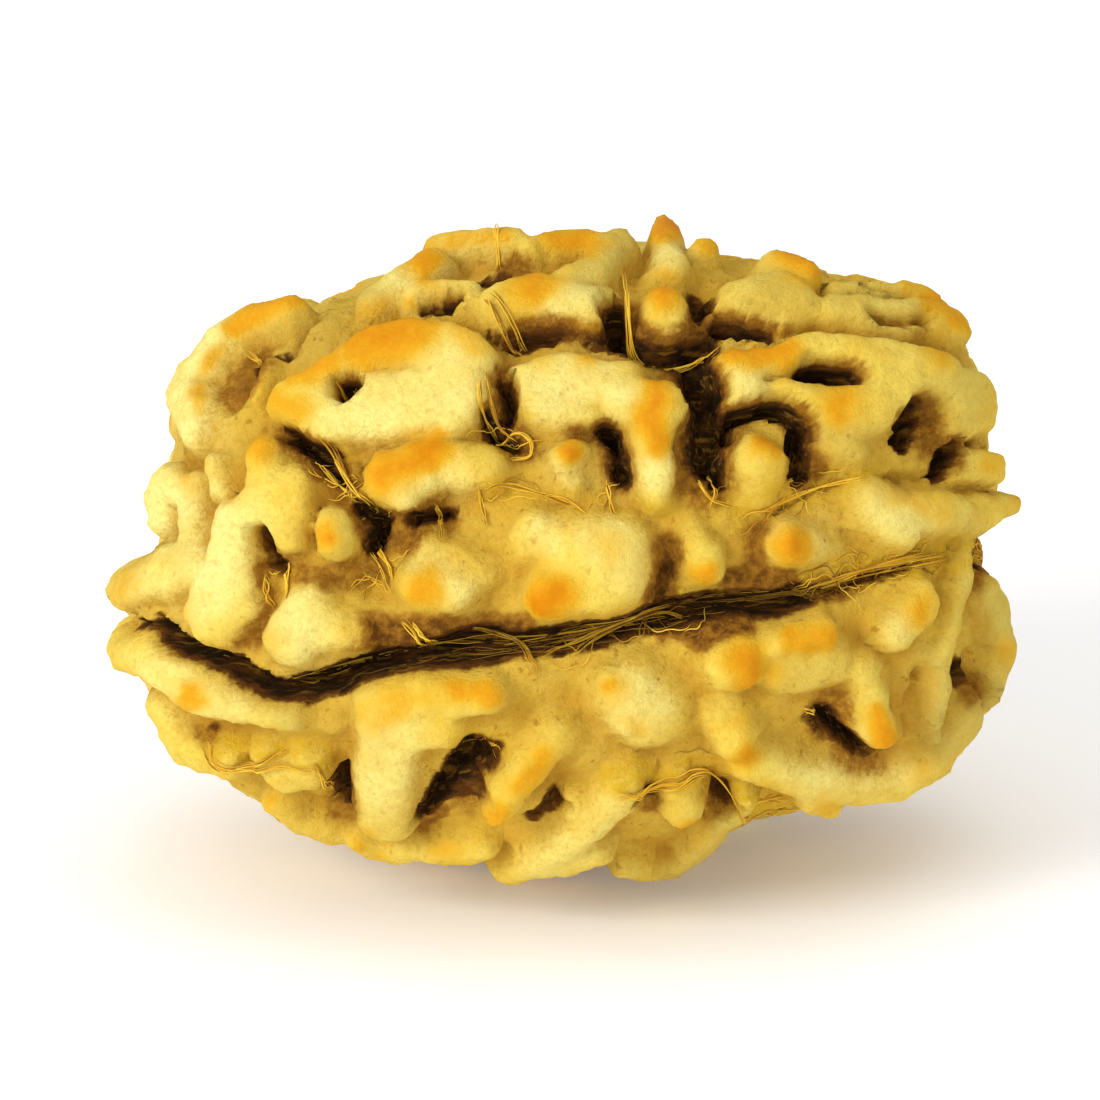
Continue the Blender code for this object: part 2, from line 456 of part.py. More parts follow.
def relief(points):
    """Height of the skin over the body at each of its points."""
    tubercles, hidden, grooves, pits = features()
    felt = strayed(points)
    dip = BELT_DIP * np.interp(points[:, 2], BELT, (0, 1, 1, 0))
    height = WEB_HEIGHT + RIPPLE * waves(points, 2.0, 3) - dip
    for path, values in grooves:
        chosen, share, found = reached_by(felt, path, values)
        bed = found[:, 1] + (GROOVE_LIP - found[:, 1]) * np.minimum(share, 2.5) ** 3
        height[chosen] = -higher(-height[chosen], -bed, GROOVE_BLEND)
    for path, values in tubercles + hidden:
        chosen, share, found = reached_by(felt, path, values)
        height[chosen] = higher(height[chosen], domed(share, found), TUBERCLE_BLEND)
    for path, values in pits:
        chosen, share, found = reached_by(felt, path, values)
        hole = found[:, 1] + (GROOVE_LIP - found[:, 1]) * np.minimum(share, 2.5) ** 2
        height[chosen] = -higher(-height[chosen], -hole, PIT_BLEND)
    return height + swell(points)


def ring_grid():
    """Directions on rings from pole to pole, evenly spaced along the body, with one point at each pole."""
    angle = np.linspace(0, np.pi, 2001)
    profile, _ = body(np.column_stack([np.cos(angle), np.sin(angle), np.zeros_like(angle)]))
    along = np.append(0, np.cumsum(np.linalg.norm(np.diff(profile, axis=0), axis=1)))
    angle = np.interp(np.linspace(0, along[-1], RINGS + 2)[1:-1], along, angle)
    around = np.arange(SPOKES) * 2 * np.pi / SPOKES
    angle, around = np.meshgrid(angle, around, indexing="ij")
    rings = np.stack([np.cos(angle), np.sin(angle) * np.cos(around), np.sin(angle) * np.sin(around)], -1)
    return np.concatenate([[[1.0, 0, 0]], rings.reshape(-1, 3), [[-1.0, 0, 0]]])


def ring_faces():
    """Quads between the rings and a fan of triangles at each pole, all facing out."""
    ring, spoke = np.meshgrid(np.arange(RINGS - 1), np.arange(SPOKES), indexing="ij")
    first = 1 + ring * SPOKES + spoke
    second = 1 + ring * SPOKES + (spoke + 1) % SPOKES
    quads = np.stack([first, first + SPOKES, second + SPOKES, second], -1).reshape(-1, 4)
    spoke = np.arange(SPOKES)
    after = (spoke + 1) % SPOKES
    last = 1 + (RINGS - 1) * SPOKES
    near_pole = np.column_stack([np.zeros(SPOKES, int), 1 + spoke, 1 + after])
    far_pole = np.column_stack([np.full(SPOKES, last + SPOKES), last + after, last + spoke])
    return quads.tolist() + near_pole.tolist() + far_pole.tolist()


def stone_points():
    """The stone's points in millimetres, standing as it rests: x right, y away from the front, z up."""
    points, normals = body(ring_grid())
    seen = turned(points + relief(points)[:, None] * normals, LEAN_DEG)
    rise = math.radians(FRONT_RISE_DEG)
    away = seen[:, 1] * math.sin(rise) - seen[:, 2] * math.cos(rise)
    up = seen[:, 1] * math.cos(rise) + seen[:, 2] * math.sin(rise)
    return np.column_stack([seen[:, 0], away, up])


def seed_skin():
    """Dry, unoiled seed stone: pale tan, dull."""
    material = bpy.data.materials.new("seed_skin")
    material.use_nodes = True
    shader = material.node_tree.nodes["Principled BSDF"]
    shader.inputs["Base Color"].default_value = (0.62, 0.40, 0.13, 1)
    shader.inputs["Roughness"].default_value = 0.78
    return material


def seat_block(points):
    """The block below the flat spot."""
    low = points[:, 2].min() + SEAT_CUT
    mesh = bpy.data.meshes.new("seat_block")
    cube = bmesh.new()
    bmesh.ops.create_cube(cube, size=1)
    cube.to_mesh(mesh)
    cube.free()
    block = bpy.data.objects.new("seat_block", mesh)
    block.scale = (30 * MM, 30 * MM, 4 * MM)
    block.location = (0, 0, (low - 2) * MM)
    block.hide_render = True
    bpy.context.scene.collection.objects.link(block)
    return block


def bead():
    points = stone_points()
    middle = (points.max(0) + points.min(0)) / 2
    points = points - [middle[0], middle[1], points[:, 2].min() + SEAT_CUT]
    mesh = bpy.data.meshes.new("bead")
    mesh.from_pydata((points * MM).tolist(), [], ring_faces())
    mesh.materials.append(seed_skin())
    stone = bpy.data.objects.new("bead", mesh)
    bpy.context.scene.collection.objects.link(stone)
    fewer = stone.modifiers.new("fewer triangles", "DECIMATE")
    fewer.ratio = TRIANGLES / (2 * RINGS * SPOKES)
    flat = stone.modifiers.new("flat spot", "BOOLEAN")
    flat.operation = "DIFFERENCE"
    flat.solver = "EXACT"
    flat.object = seat_block(points)
    return stone


for old in list(bpy.data.objects):
    bpy.data.objects.remove(old)
bead()
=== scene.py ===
import math

from functools import cache

import bpy
import numpy as np
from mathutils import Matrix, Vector


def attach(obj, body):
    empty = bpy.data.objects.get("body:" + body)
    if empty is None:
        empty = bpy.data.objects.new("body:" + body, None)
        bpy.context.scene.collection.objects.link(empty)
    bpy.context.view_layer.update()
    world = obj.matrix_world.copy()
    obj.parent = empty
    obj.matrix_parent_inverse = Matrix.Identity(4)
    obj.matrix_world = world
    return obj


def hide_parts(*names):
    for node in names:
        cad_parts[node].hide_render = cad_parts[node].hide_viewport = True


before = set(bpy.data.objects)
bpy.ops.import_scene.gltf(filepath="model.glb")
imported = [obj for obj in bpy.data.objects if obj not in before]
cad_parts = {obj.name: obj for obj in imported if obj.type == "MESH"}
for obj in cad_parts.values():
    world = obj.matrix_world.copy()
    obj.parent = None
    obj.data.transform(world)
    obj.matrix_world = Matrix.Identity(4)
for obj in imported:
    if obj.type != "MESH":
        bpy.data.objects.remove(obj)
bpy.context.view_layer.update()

# The seed stone is one hard body that grew inside the fruit: blunt tubercles on a web of skin, parted by
# grooves from pole to pole and by deep pits. It is raw and dusty cream, with worn orange-brown caps. It is a
# surface of rings from pole to pole, raised and sunk along its normals, and rests on a small flat spot.
MM = 0.001
# sizes in millimetres, angles in degrees
HALF_LONG = 10.85
HALF_TALL = 7.7
HALF_DEEP = 7.3
HALVES = np.array([HALF_LONG, HALF_TALL, HALF_DEEP])
SQUARENESS = 2.45
LEAN_DEG = 5.0  # right-hand pole above the left-hand one, seen from the front
FRONT_RISE_DEG = 20.0  # the front faces this far above the horizontal
WEB_HEIGHT = -0.68  # the skin between the tubercles, against the body
GROOVE_LIP = 0.6  # where a cut's wall stands one radius from its bed
GROOVE_LEVEL = -0.8  # the skin that a groove is laid on
PIT_LEVEL = -0.3
TUBERCLE_FOOT = -1.75
TUBERCLE_BLEND = 0.28
GROOVE_BLEND = 0.15
PIT_BLEND = 0.25
RIPPLE = 0.1  # unevenness of the web
WANDER = 0.06  # how far the borders of features stray
# a front feature stands again on the far side if all of it is at least this far in front of the middle
TUBERCLES_REPEATED_FROM = 3.3
GROOVES_REPEATED_FROM = 1.0
PITS_REPEATED_FROM = 2.0
# tubercles and pits drawn at random, for the skin that isn't seen, stand behind this depth
HIDDEN_FROM = 1.8
CANDIDATES = 3000
HIDDEN_LENGTHS = (0.2, 2.2)
HIDDEN_RADII = (0.85, 1.2)
HIDDEN_HEIGHTS = (-0.15, 0.25)
HIDDEN_FLATNESS = 3.5
SHRINKING = 0.4  # how much smaller the last drawn are than the first
HIDDEN_PITS = 34
HIDDEN_PIT_RADII = (0.26, 0.42)
HIDDEN_PIT_LEVELS = (-1.6, -1.3)
PIT_SPACING = 2.2
# the web is lower by BELT_DIP in the belt round the rim, between depths where the dip starts and is full
BELT_DIP = 0.7
BELT = (-6.5, -4.5, 0.4, 2.2)
HIDING = 0.04  # how far below the outline they stay
SPACING = 0.75  # how much of its own radius each of them keeps clear
RINGS = 216
SPOKES = 436
SEAT_CUT = 0.5  # how much of the lowest tubercles the flat spot takes
SEED = 7
PATH_STEP = 0.8

# broad swellings of the body: (x, y), radius, amount
SWELLS = [
    ((9.2, 5.4), 3.0, 0.9),
    ((9.4, -4.6), 3.0, 1.0),
    ((-9.6, -3.8), 2.8, 0.4),
    ((-10.4, 1.6), 2.2, -0.5),
    ((-9.4, 4.6), 2.0, 0.1),
    ((-1.6, 7.6), 2.4, 0.35),
    ((0.8, -7.6), 3.6, 0.55),
    ((10.8, -0.2), 1.3, -0.25),
    ((-10.5, 0.3), 1.0, -0.25),
]

# tubercles: name, crest seen from the front, radius, height over the body, flatness of the crown
TUBERCLES = [
    ("end nub", [(-9.2, -0.34), (-10.3, -0.74), (-10.95, -1.02)], (1.18, 1.0), 0.17, 2.8),
    ("tongue", [(-8.0, 0.7), (-8.25, -0.5), (-8.5, -1.42)], (0.95, 1.52), (0.05, 0.25), 3),
    ("tongue shoulder", [(-7.8, -0.2), (-7.8, -1.35)], (0.92, 1.08), (-0.05, 0.05), 3),
    ("wedge", [(-6.05, -1.3), (-6.65, -2.15)], (1.02, 1.12), (0.05, 0.3), 2.8),
    ("wedge flank", [(-5.9, -1.8), (-5.0, -1.95)], (1.05, 0.92), (0.1, -0.05), 2.8),
    ("wedge tail", [(-4.9, -1.4), (-4.3, -1.7)], 0.79, -0.5, 2.5),
    ("left cap lobe", [(-3.45, -0.85), (-2.75, -0.95)], 1.06, 0.1, 2.6),
    ("left cap back", [(-3.2, -0.1), (-2.1, -0.5)], 0.96, -0.25, 2.6),
    ("great dome foot", [(-0.25, -1.1), (1.4, -0.8)], (0.98, 1.12), (0.25, 0.15), 3),
    ("great dome", [(0.5, 0.0), (1.2, -0.15)], 1.54, 0.22, 3),
    ("great dome left", [(-0.6, 0.3), (0.2, 0.1)], 1.21, -0.02, 2.6),
    ("cleft nub", [(3.1, 0.45), (3.4, -0.4)], (0.68, 0.84), (-0.25, 0.3), 2.6),
    ("round nub", [(6.2, 0.1), (5.5, 0.05)], (0.94, 0.93), (-0.35, 0.35), 2.5),
    ("right ridge", [(7.45, 1.1), (8.4, 0.85), (9.6, 0.8)], (1.0, 1.04), 0.12, 2.8),
    ("right ridge foot", [(7.8, 0.7), (8.3, 0.4)], 0.72, 0.1, 3),
    ("pointed nub", [(10.0, 0.72), (10.98, 1.1)], (1.0, 0.5), (0.12, 0.2), 3),
    ("stub nub", [(9.5, 2.0), (10.52, 1.87)], (0.62, 0.55), (-0.2, 0.12), 4),
    ("shoulder left", [(-8.95, 3.2), (-9.3, 4.0), (-8.4, 5.15)], 1.03, 0.1, 3.2),
    ("shoulder crest", [(-8.3, 5.3), (-7.6, 5.75), (-6.6, 5.98)], 0.7, 0.15, 4),
    ("shoulder inner", [(-6.95, 4.6), (-7.35, 3.6)], (0.5, 0.4), -0.28, 2.6),
    ("pale bulge", [(-9.55, 1.65), (-9.95, 1.2), (-9.8, 0.7)], 0.9, 0.15, 3),
    ("pale flank", [(-9.1, 1.4), (-9.0, 0.3)], 1.12, -0.04, 3),
    ("peak", [(-7.25, 2.35), (-7.25, 1.5), (-7.4, 0.9)], (0.74, 1.5), 0.22, 2.8),
    ("peak back", [(-8.5, 2.0), (-8.3, 1.4)], 0.6, -0.05, 3.5),
    ("peak face", [(-6.5, 1.5), (-6.6, 0.9)], 0.86, 0.05, 3),
    ("left drop", [(-6.75, 0.85), (-6.6, 0.2)], (0.64, 0.59), 0.05, 2.8),
    ("left eye", [(-5.55, 0.5), (-5.5, 0.25)], 0.88, 0.4, 2.6),
    (
        "wing crest",
        [(-6.7, 3.65), (-5.8, 4.1), (-4.7, 4.85), (-3.6, 5.12), (-2.4, 4.65)],
        (0.72, 0.98), 0.15, 5,
    ),
    ("wing face", [(-6.2, 3.3), (-4.6, 3.5), (-2.8, 3.8)], (0.85, 1.35), 0.12, 6),
    ("striped lobe", [(-4.15, 1.75), (-3.1, 2.15), (-1.9, 1.95)], (1.1, 0.93), (0.3, 0.0), 3.2),
    ("striped tip", [(-4.0, 1.45), (-3.8, 1.2)], 0.6, 0.2, 3),
    ("plateau left", [(-0.95, 4.0), (0.1, 4.2), (1.3, 3.95)], (0.88, 0.95), 0.05, 4.5),
    ("plateau foot", [(-0.55, 3.45), (0.55, 3.25)], 0.75, 0.0, 3),
    ("hammer head", [(1.45, 3.65), (2.55, 3.58)], 0.88, 0.22, 4),
    ("hammer shaft", [(2.1, 3.3), (2.15, 2.4), (2.25, 1.5)], (0.95, 0.85), (0.2, -0.05), 4),
    ("small nub", [(0.2, 1.75), (0.18, 2.2)], (0.85, 0.82), (-0.2, 0.25), 2.6),
    ("tall nub", [(4.66, 1.4), (4.73, 2.22)], (1.07, 0.88), (-0.25, 0.36), 2.8),
    ("block", [(4.2, 4.42), (4.35, 3.85)], 1.02, 0.18, 3.6),
    ("top beam", [(4.6, 4.65), (6.4, 4.85), (8.0, 4.75), (9.2, 4.45)], 0.66, 0.1, 4),
    ("low beam", [(5.3, 3.8), (6.5, 3.35), (7.5, 3.5)], 0.78, 0.15, 3.2),
    ("low beam apron", [(6.4, 2.95), (6.9, 2.45)], 1.17, -0.15, 2.6),
    ("beam end", [(7.5, 4.1), (9.0, 4.1), (10.22, 3.55)], (0.9, 1.05), 0.08, 4.5),
    ("beam tip", [(9.3, 3.0), (10.25, 3.15)], 0.72, 0.0, 4),
    ("arch left", [(-4.7, 6.12), (-3.9, 6.58), (-3.2, 7.12)], (0.64, 0.84), 0.1, 3.2),
    ("arch top", [(-2.9, 7.48), (-1.9, 7.62), (-1.1, 7.64), (-0.8, 7.4)], (0.65, 0.55), 0.1, 4),
    ("arch foot", [(-3.4, 6.2), (-2.4, 6.2)], 0.76, 0.0, 4),
    ("cap plateau", [(-1.5, 6.08), (-0.6, 6.32), (0.8, 6.08)], (0.96, 1.1), 0.18, 3),
    ("far lobe", [(-0.4, 7.55), (0.6, 7.55)], 0.6, 0.1, 4),
    ("green lobe", [(0.2, 6.7), (0.8, 6.9), (1.25, 7.55)], (0.8, 0.72), 0.1, 3.5),
    ("spike", [(2.5, 6.9), (2.5, 7.98)], (0.9, 0.58), (0.0, 0.3), 3),
    ("crown nub", [(2.52, 5.3), (2.42, 6.05)], (1.3, 0.98), (-0.1, 0.32), 2.8),
    ("far nub", [(3.35, 7.38)], 0.56, 0.1, 3),
    ("fuzzy dome", [(4.55, 6.2), (5.3, 6.3)], 1.52, 0.36, 2.7),
    ("fuzzy dome cap", [(5.2, 7.08), (5.85, 6.84)], 0.72, 0.38, 3),
    ("back beam", [(6.5, 5.85), (7.6, 5.72), (8.8, 5.75), (9.5, 5.45)], (0.7, 0.82), 0.05, 4),
    ("far beam", [(6.6, 6.25), (8.3, 6.35), (9.0, 6.05)], 0.45, 0.0, 4),
    ("left ear", [(-10.86, -2.4), (-9.9, -2.8), (-9.2, -3.25)], (0.88, 0.95), 0.12, 3),
    ("left bar", [(-9.1, -3.5), (-7.8, -3.88), (-6.5, -4.1)], (0.84, 0.71), 0.1, 3),
    ("left bar grey", [(-6.6, -4.2), (-5.6, -4.2)], 0.7, -0.4, 3),
    ("left foot", [(-9.75, -4.1), (-9.3, -4.9), (-8.1, -5.28)], 0.93, 0.06, 3.2),
    ("left fold", [(-7.1, -5.1), (-6.7, -5.6)], (0.92, 1.05), (0.0, 0.1), 2.6),
    ("left fold tail", [(-6.2, -5.2), (-6.0, -5.6)], 0.9, 0.0, 2.6),
    ("left heel", [(-6.95, -6.3), (-6.4, -6.76), (-5.6, -7.0)], 0.76, 0.04, 3),
    ("fist top", [(-4.45, -3.95), (-3.3, -3.6), (-1.8, -3.55)], (1.0, 0.78), 0.2, 3.2),
    ("fist face", [(-3.5, -4.3), (-3.0, -4.4)], 1.18, 0.1, 3),
    ("fist leg", [(-4.3, -4.5), (-4.25, -6.8)], (1.18, 1.1), 0.12, 3.6),
    ("fist toe", [(-4.95, -7.15), (-4.45, -7.44), (-3.7, -7.48)], 0.74, 0.04, 3),
    ("fist sill", [(-3.2, -7.45), (-2.0, -7.38)], 0.74, 0.0, 3),
    ("finger", [(-0.2, -4.5), (-0.75, -5.4), (-1.55, -6.42)], (0.95, 0.74), (-0.1, 0.4), 2.8),
    ("knuckle", [(1.6, -3.65), (2.1, -4.1)], 1.55, 0.05, 2.6),
    ("knuckle wart", [(1.2, -3.25)], 0.7, 0.12, 2),
    ("knuckle lump", [(1.7, -4.3)], 0.53, 0.15, 2.4),
    ("amber lobe", [(4.0, -2.85), (4.35, -2.8)], 1.16, 0.22, 2.4),
    ("amber ridge", [(5.1, -2.3), (6.2, -2.1)], 0.8, 0.15, 2.4),
    ("amber back", [(5.4, -2.9), (6.4, -2.75)], 1.06, -0.1, 2.8),
    ("button", [(3.9, -4.1), (4.2, -4.65)], (1.15, 1.05), (-0.05, 0.25), 2.5),
    ("right brow", [(8.8, -1.2), (8.4, -1.6), (8.05, -2.0)], (0.9, 0.83), 0.08, 2.5),
    ("right brow back", [(9.0, -1.9), (8.7, -2.4)], 0.7, -0.3, 4),
    ("tusk", [(7.3, -3.0), (7.42, -3.85), (7.8, -4.55)], (0.94, 0.66), (-0.1, 0.42), 2.7),
    (
        "right edge",
        [(9.75, 0.3), (9.72, -0.8), (9.35, -1.9), (9.1, -2.9), (9.15, -3.8), (8.95, -4.6)],
        0.42, 0.0, 3,
    ),
    ("right rim", [(10.45, -1.25), (10.8, -2.4), (10.35, -3.6)], 0.86, 0.13, 3.2),
    ("right rim foot", [(9.8, -4.35), (9.1, -5.2)], 0.72, 0.03, 4),
    ("chin", [(4.6, -5.3), (5.6, -5.6), (6.7, -5.98), (8.0, -5.92), (9.0, -5.38)], (1.0, 1.17), 0.09, 2.8),
    ("chin nub", [(6.1, -6.2), (6.4, -6.42)], 0.72, 0.1, 2.6),
    ("keel left", [(-1.35, -8.0), (0.0, -7.4), (1.0, -6.5), (1.5, -5.9)], (0.79, 1.03), (0.1, 0.0), 3),
    ("keel sill", [(-0.4, -7.8), (0.8, -7.55)], 0.55, 0.08, 4),
    ("keel back", [(0.35, -6.3)], 0.87, -0.1, 3),
    ("keel nub", [(2.75, -6.0), (2.9, -6.45)], (0.93, 0.86), (-0.05, 0.25), 2.8),
    ("keel right", [(1.55, -7.85), (2.7, -7.85), (3.55, -7.15), (4.4, -6.15)], (0.66, 0.5), 0.0, 4),
]

# grooves: name, bed seen from the front, half width, height of the bed
GROOVES = [
    ("main cleft left", [(-9.75, -1.84), (-9.2, -2.25), (-8.4, -2.7), (-7.4, -3.05)], (0.36, 0.5), -1.65),
    (
        "main cleft",
        [(-7.4, -3.05), (-6.3, -3.3), (-5.3, -3.08), (-4.4, -2.7), (-2.9, -2.4), (-1.5, -2.28)],
        (0.46, 0.52), -1.7,
    ),
    (
        "main cleft right",
        [(-1.5, -2.28), (0.0, -2.1), (1.5, -1.78), (3.0, -1.45), (4.4, -1.25), (5.5, -1.1)],
        (0.42, 0.44), -1.6,
    ),
    ("cleft seam", [(5.6, -1.15), (6.6, -0.85), (8.1, -0.4)], (0.33, 0.14), -1.2),
    (
        "upper groove",
        [(-1.5, 5.05), (-1.0, 4.85), (0.0, 5.1), (1.2, 4.85), (2.3, 4.55), (3.4, 4.55)],
        0.35, -1.44,
    ),
    ("dome groove", [(3.4, 5.45), (4.4, 5.32), (5.4, 5.18), (7.0, 5.35), (8.6, 5.2)], (0.42, 0.2), -1.36),
    ("lower groove", [(-8.3, -4.4), (-7.6, -4.6), (-6.4, -4.62), (-5.4, -4.9)], 0.27, -1.1),
    ("lower seam", [(1.2, -5.3), (2.3, -5.35), (3.3, -5.3), (4.2, -5.9)], 0.25, -1.04),
    ("thin seam", [(4.9, 0.75), (6.4, 1.5), (8.0, 1.7), (8.8, 1.72)], 0.15, -0.88),
    ("olive valley", [(-6.5, 4.4), (-5.9, 5.2), (-5.45, 6.0)], (0.3, 0.45), -1.05),
]

# pits, cut last: name, place seen from the front, radius, height of the bottom
PITS = [
    ("shoulder pit", [(-6.85, 4.8), (-7.2, 4.6)], (0.34, 0.3), -1.6),
    ("shoulder hollow", [(-7.3, 4.5), (-7.7, 4.0), (-7.95, 3.4)], (0.4, 0.42), -1.0),
    ("shoulder prick", [(-7.35, 3.05)], 0.2, -1.06),
    ("gash", [(-6.5, 2.68), (-5.8, 2.3)], (0.28, 0.45), -1.67),
    ("gash tail", [(-5.75, 2.0), (-5.2, 1.5)], 0.2, -1.37),
    ("round pit", [(-5.05, 3.7)], 0.46, -1.52),
    ("thin cut", [(-5.0, 2.1), (-4.8, 1.5)], 0.18, -1.06),
    ("crossing", [(-4.75, 0.95), (-4.35, 0.7), (-4.5, 0.1)], (0.34, 0.3), -1.67),
    ("striped pit", [(-3.5, 0.75), (-2.7, 0.82)], 0.27, -1.52),
    ("drop cut", [(-7.1, 0.45), (-6.95, -0.2), (-6.65, -0.4)], (0.15, 0.25), -1.37),
    ("curl cut", [(-1.5, 4.05), (-1.35, 3.55), (-1.3, 3.05)], (0.22, 0.25), -1.52),
    ("curl cut low", [(-1.85, 3.3), (-1.6, 2.75), (-1.15, 2.5)], (0.22, 0.27), -1.52),
    ("dark well", [(3.05, 4.4), (3.44, 3.6), (3.42, 2.0)], (0.52, 0.46), -1.75),
    ("dark well right", [(3.72, 2.8), (3.6, 1.65)], 0.3, -1.75),
    (
        "moat",
        [(3.92, 2.65), (4.15, 3.1), (4.8, 3.34), (5.44, 3.2), (5.72, 2.7), (5.7, 1.8)],
        (0.24, 0.37), -1.67,
    ),
    ("hammer cut", [(0.95, 2.85), (1.12, 2.4), (1.42, 1.6)], (0.36, 0.3), -1.67),
    ("crown moat", [(1.25, 5.75), (1.3, 5.1), (1.8, 4.75), (2.6, 4.68), (3.4, 4.95)], (0.34, 0.44), -1.67),
    ("crown cut", [(3.2, 6.3), (3.4, 5.75)], 0.28, -1.44),
    ("dome hollow", [(3.7, 5.32), (4.9, 5.22)], (0.36, 0.28), -1.5),
    ("dome nub cut", [(2.35, -1.15), (2.5, -0.4)], 0.27, -1.2),
    ("slot", [(5.9, 4.15), (6.85, 4.02)], 0.32, -1.67),
    ("soft hollow", [(7.2, 6.08), (8.1, 5.98)], 0.22, -0.45),
    ("channel", [(7.4, 5.38), (8.5, 5.32)], 0.3, -0.8),
    ("right pit", [(8.45, 3.35), (8.25, 2.65)], (0.45, 0.42), -1.67),
    ("right pit shade", [(8.8, 3.3), (8.95, 2.6)], 0.5, -0.85),
    ("ragged pit", [(9.15, 1.95), (9.35, 2.35)], 0.34, -1.6),
    ("arch pit", [(-1.9, 6.62), (-1.5, 6.6)], 0.38, -1.7),
    ("arch pit tail", [(-1.5, 6.75), (-0.9, 6.78)], 0.17, -1.06),
    ("arch slit", [(-3.2, 5.72), (-2.6, 5.85)], 0.26, -1.5),
    ("fist hole", [(-2.05, -5.0), (-2.5, -5.5), (-3.35, -6.5)], (0.62, 0.24), -1.67),
    ("fist hole low", [(-1.95, -5.7), (-2.35, -6.0)], 0.34, -1.37),
    ("side hole", [(-5.3, -5.55), (-5.2, -6.3)], 0.28, -1.5),
    ("finger cut", [(-0.15, -6.05), (-0.7, -6.55)], 0.3, -1.35),
    ("tusk cut", [(6.4, -4.15), (7.25, -4.95)], 0.34, -1.67),
    ("tusk cut left", [(6.05, -4.3), (6.3, -4.7)], 0.2, -1.22),
    ("web hollow", [(8.52, -3.2), (8.56, -4.35)], 0.44, -0.94),
    ("rim hole", [(9.55, -3.2)], 0.5, -1.6),
    ("rim hollow", [(9.85, -2.6), (9.95, -3.5)], 0.4, -0.95),
    ("end gap", [(10.5, 0.2), (10.3, -0.3), (10.25, -0.75)], (0.55, 0.62), -1.7),
    ("left cleft", [(-9.8, -1.8), (-9.1, -2.35), (-8.3, -2.75), (-7.5, -3.0)], (0.22, 0.32), -1.6),
    ("left cleft inner", [(-7.5, -3.0), (-6.8, -3.3), (-5.8, -3.3), (-4.8, -2.95)], (0.3, 0.28), -1.7),
    ("left notch", [(-10.3, 0.15), (-9.7, 0.3)], 0.25, -0.94),
    ("shoulder notch", [(-9.75, 2.65), (-9.2, 2.6)], 0.24, -0.92),
    ("stub notch", [(10.5, 2.55), (9.8, 2.42)], 0.2, -1.1),
    ("keel hole", [(1.98, -5.9)], 0.32, -1.6),
    ("keel hole right", [(3.65, -6.05), (3.9, -6.2)], 0.3, -1.37),
    ("foot hole", [(-8.55, -4.45)], 0.27, -1.2),
]

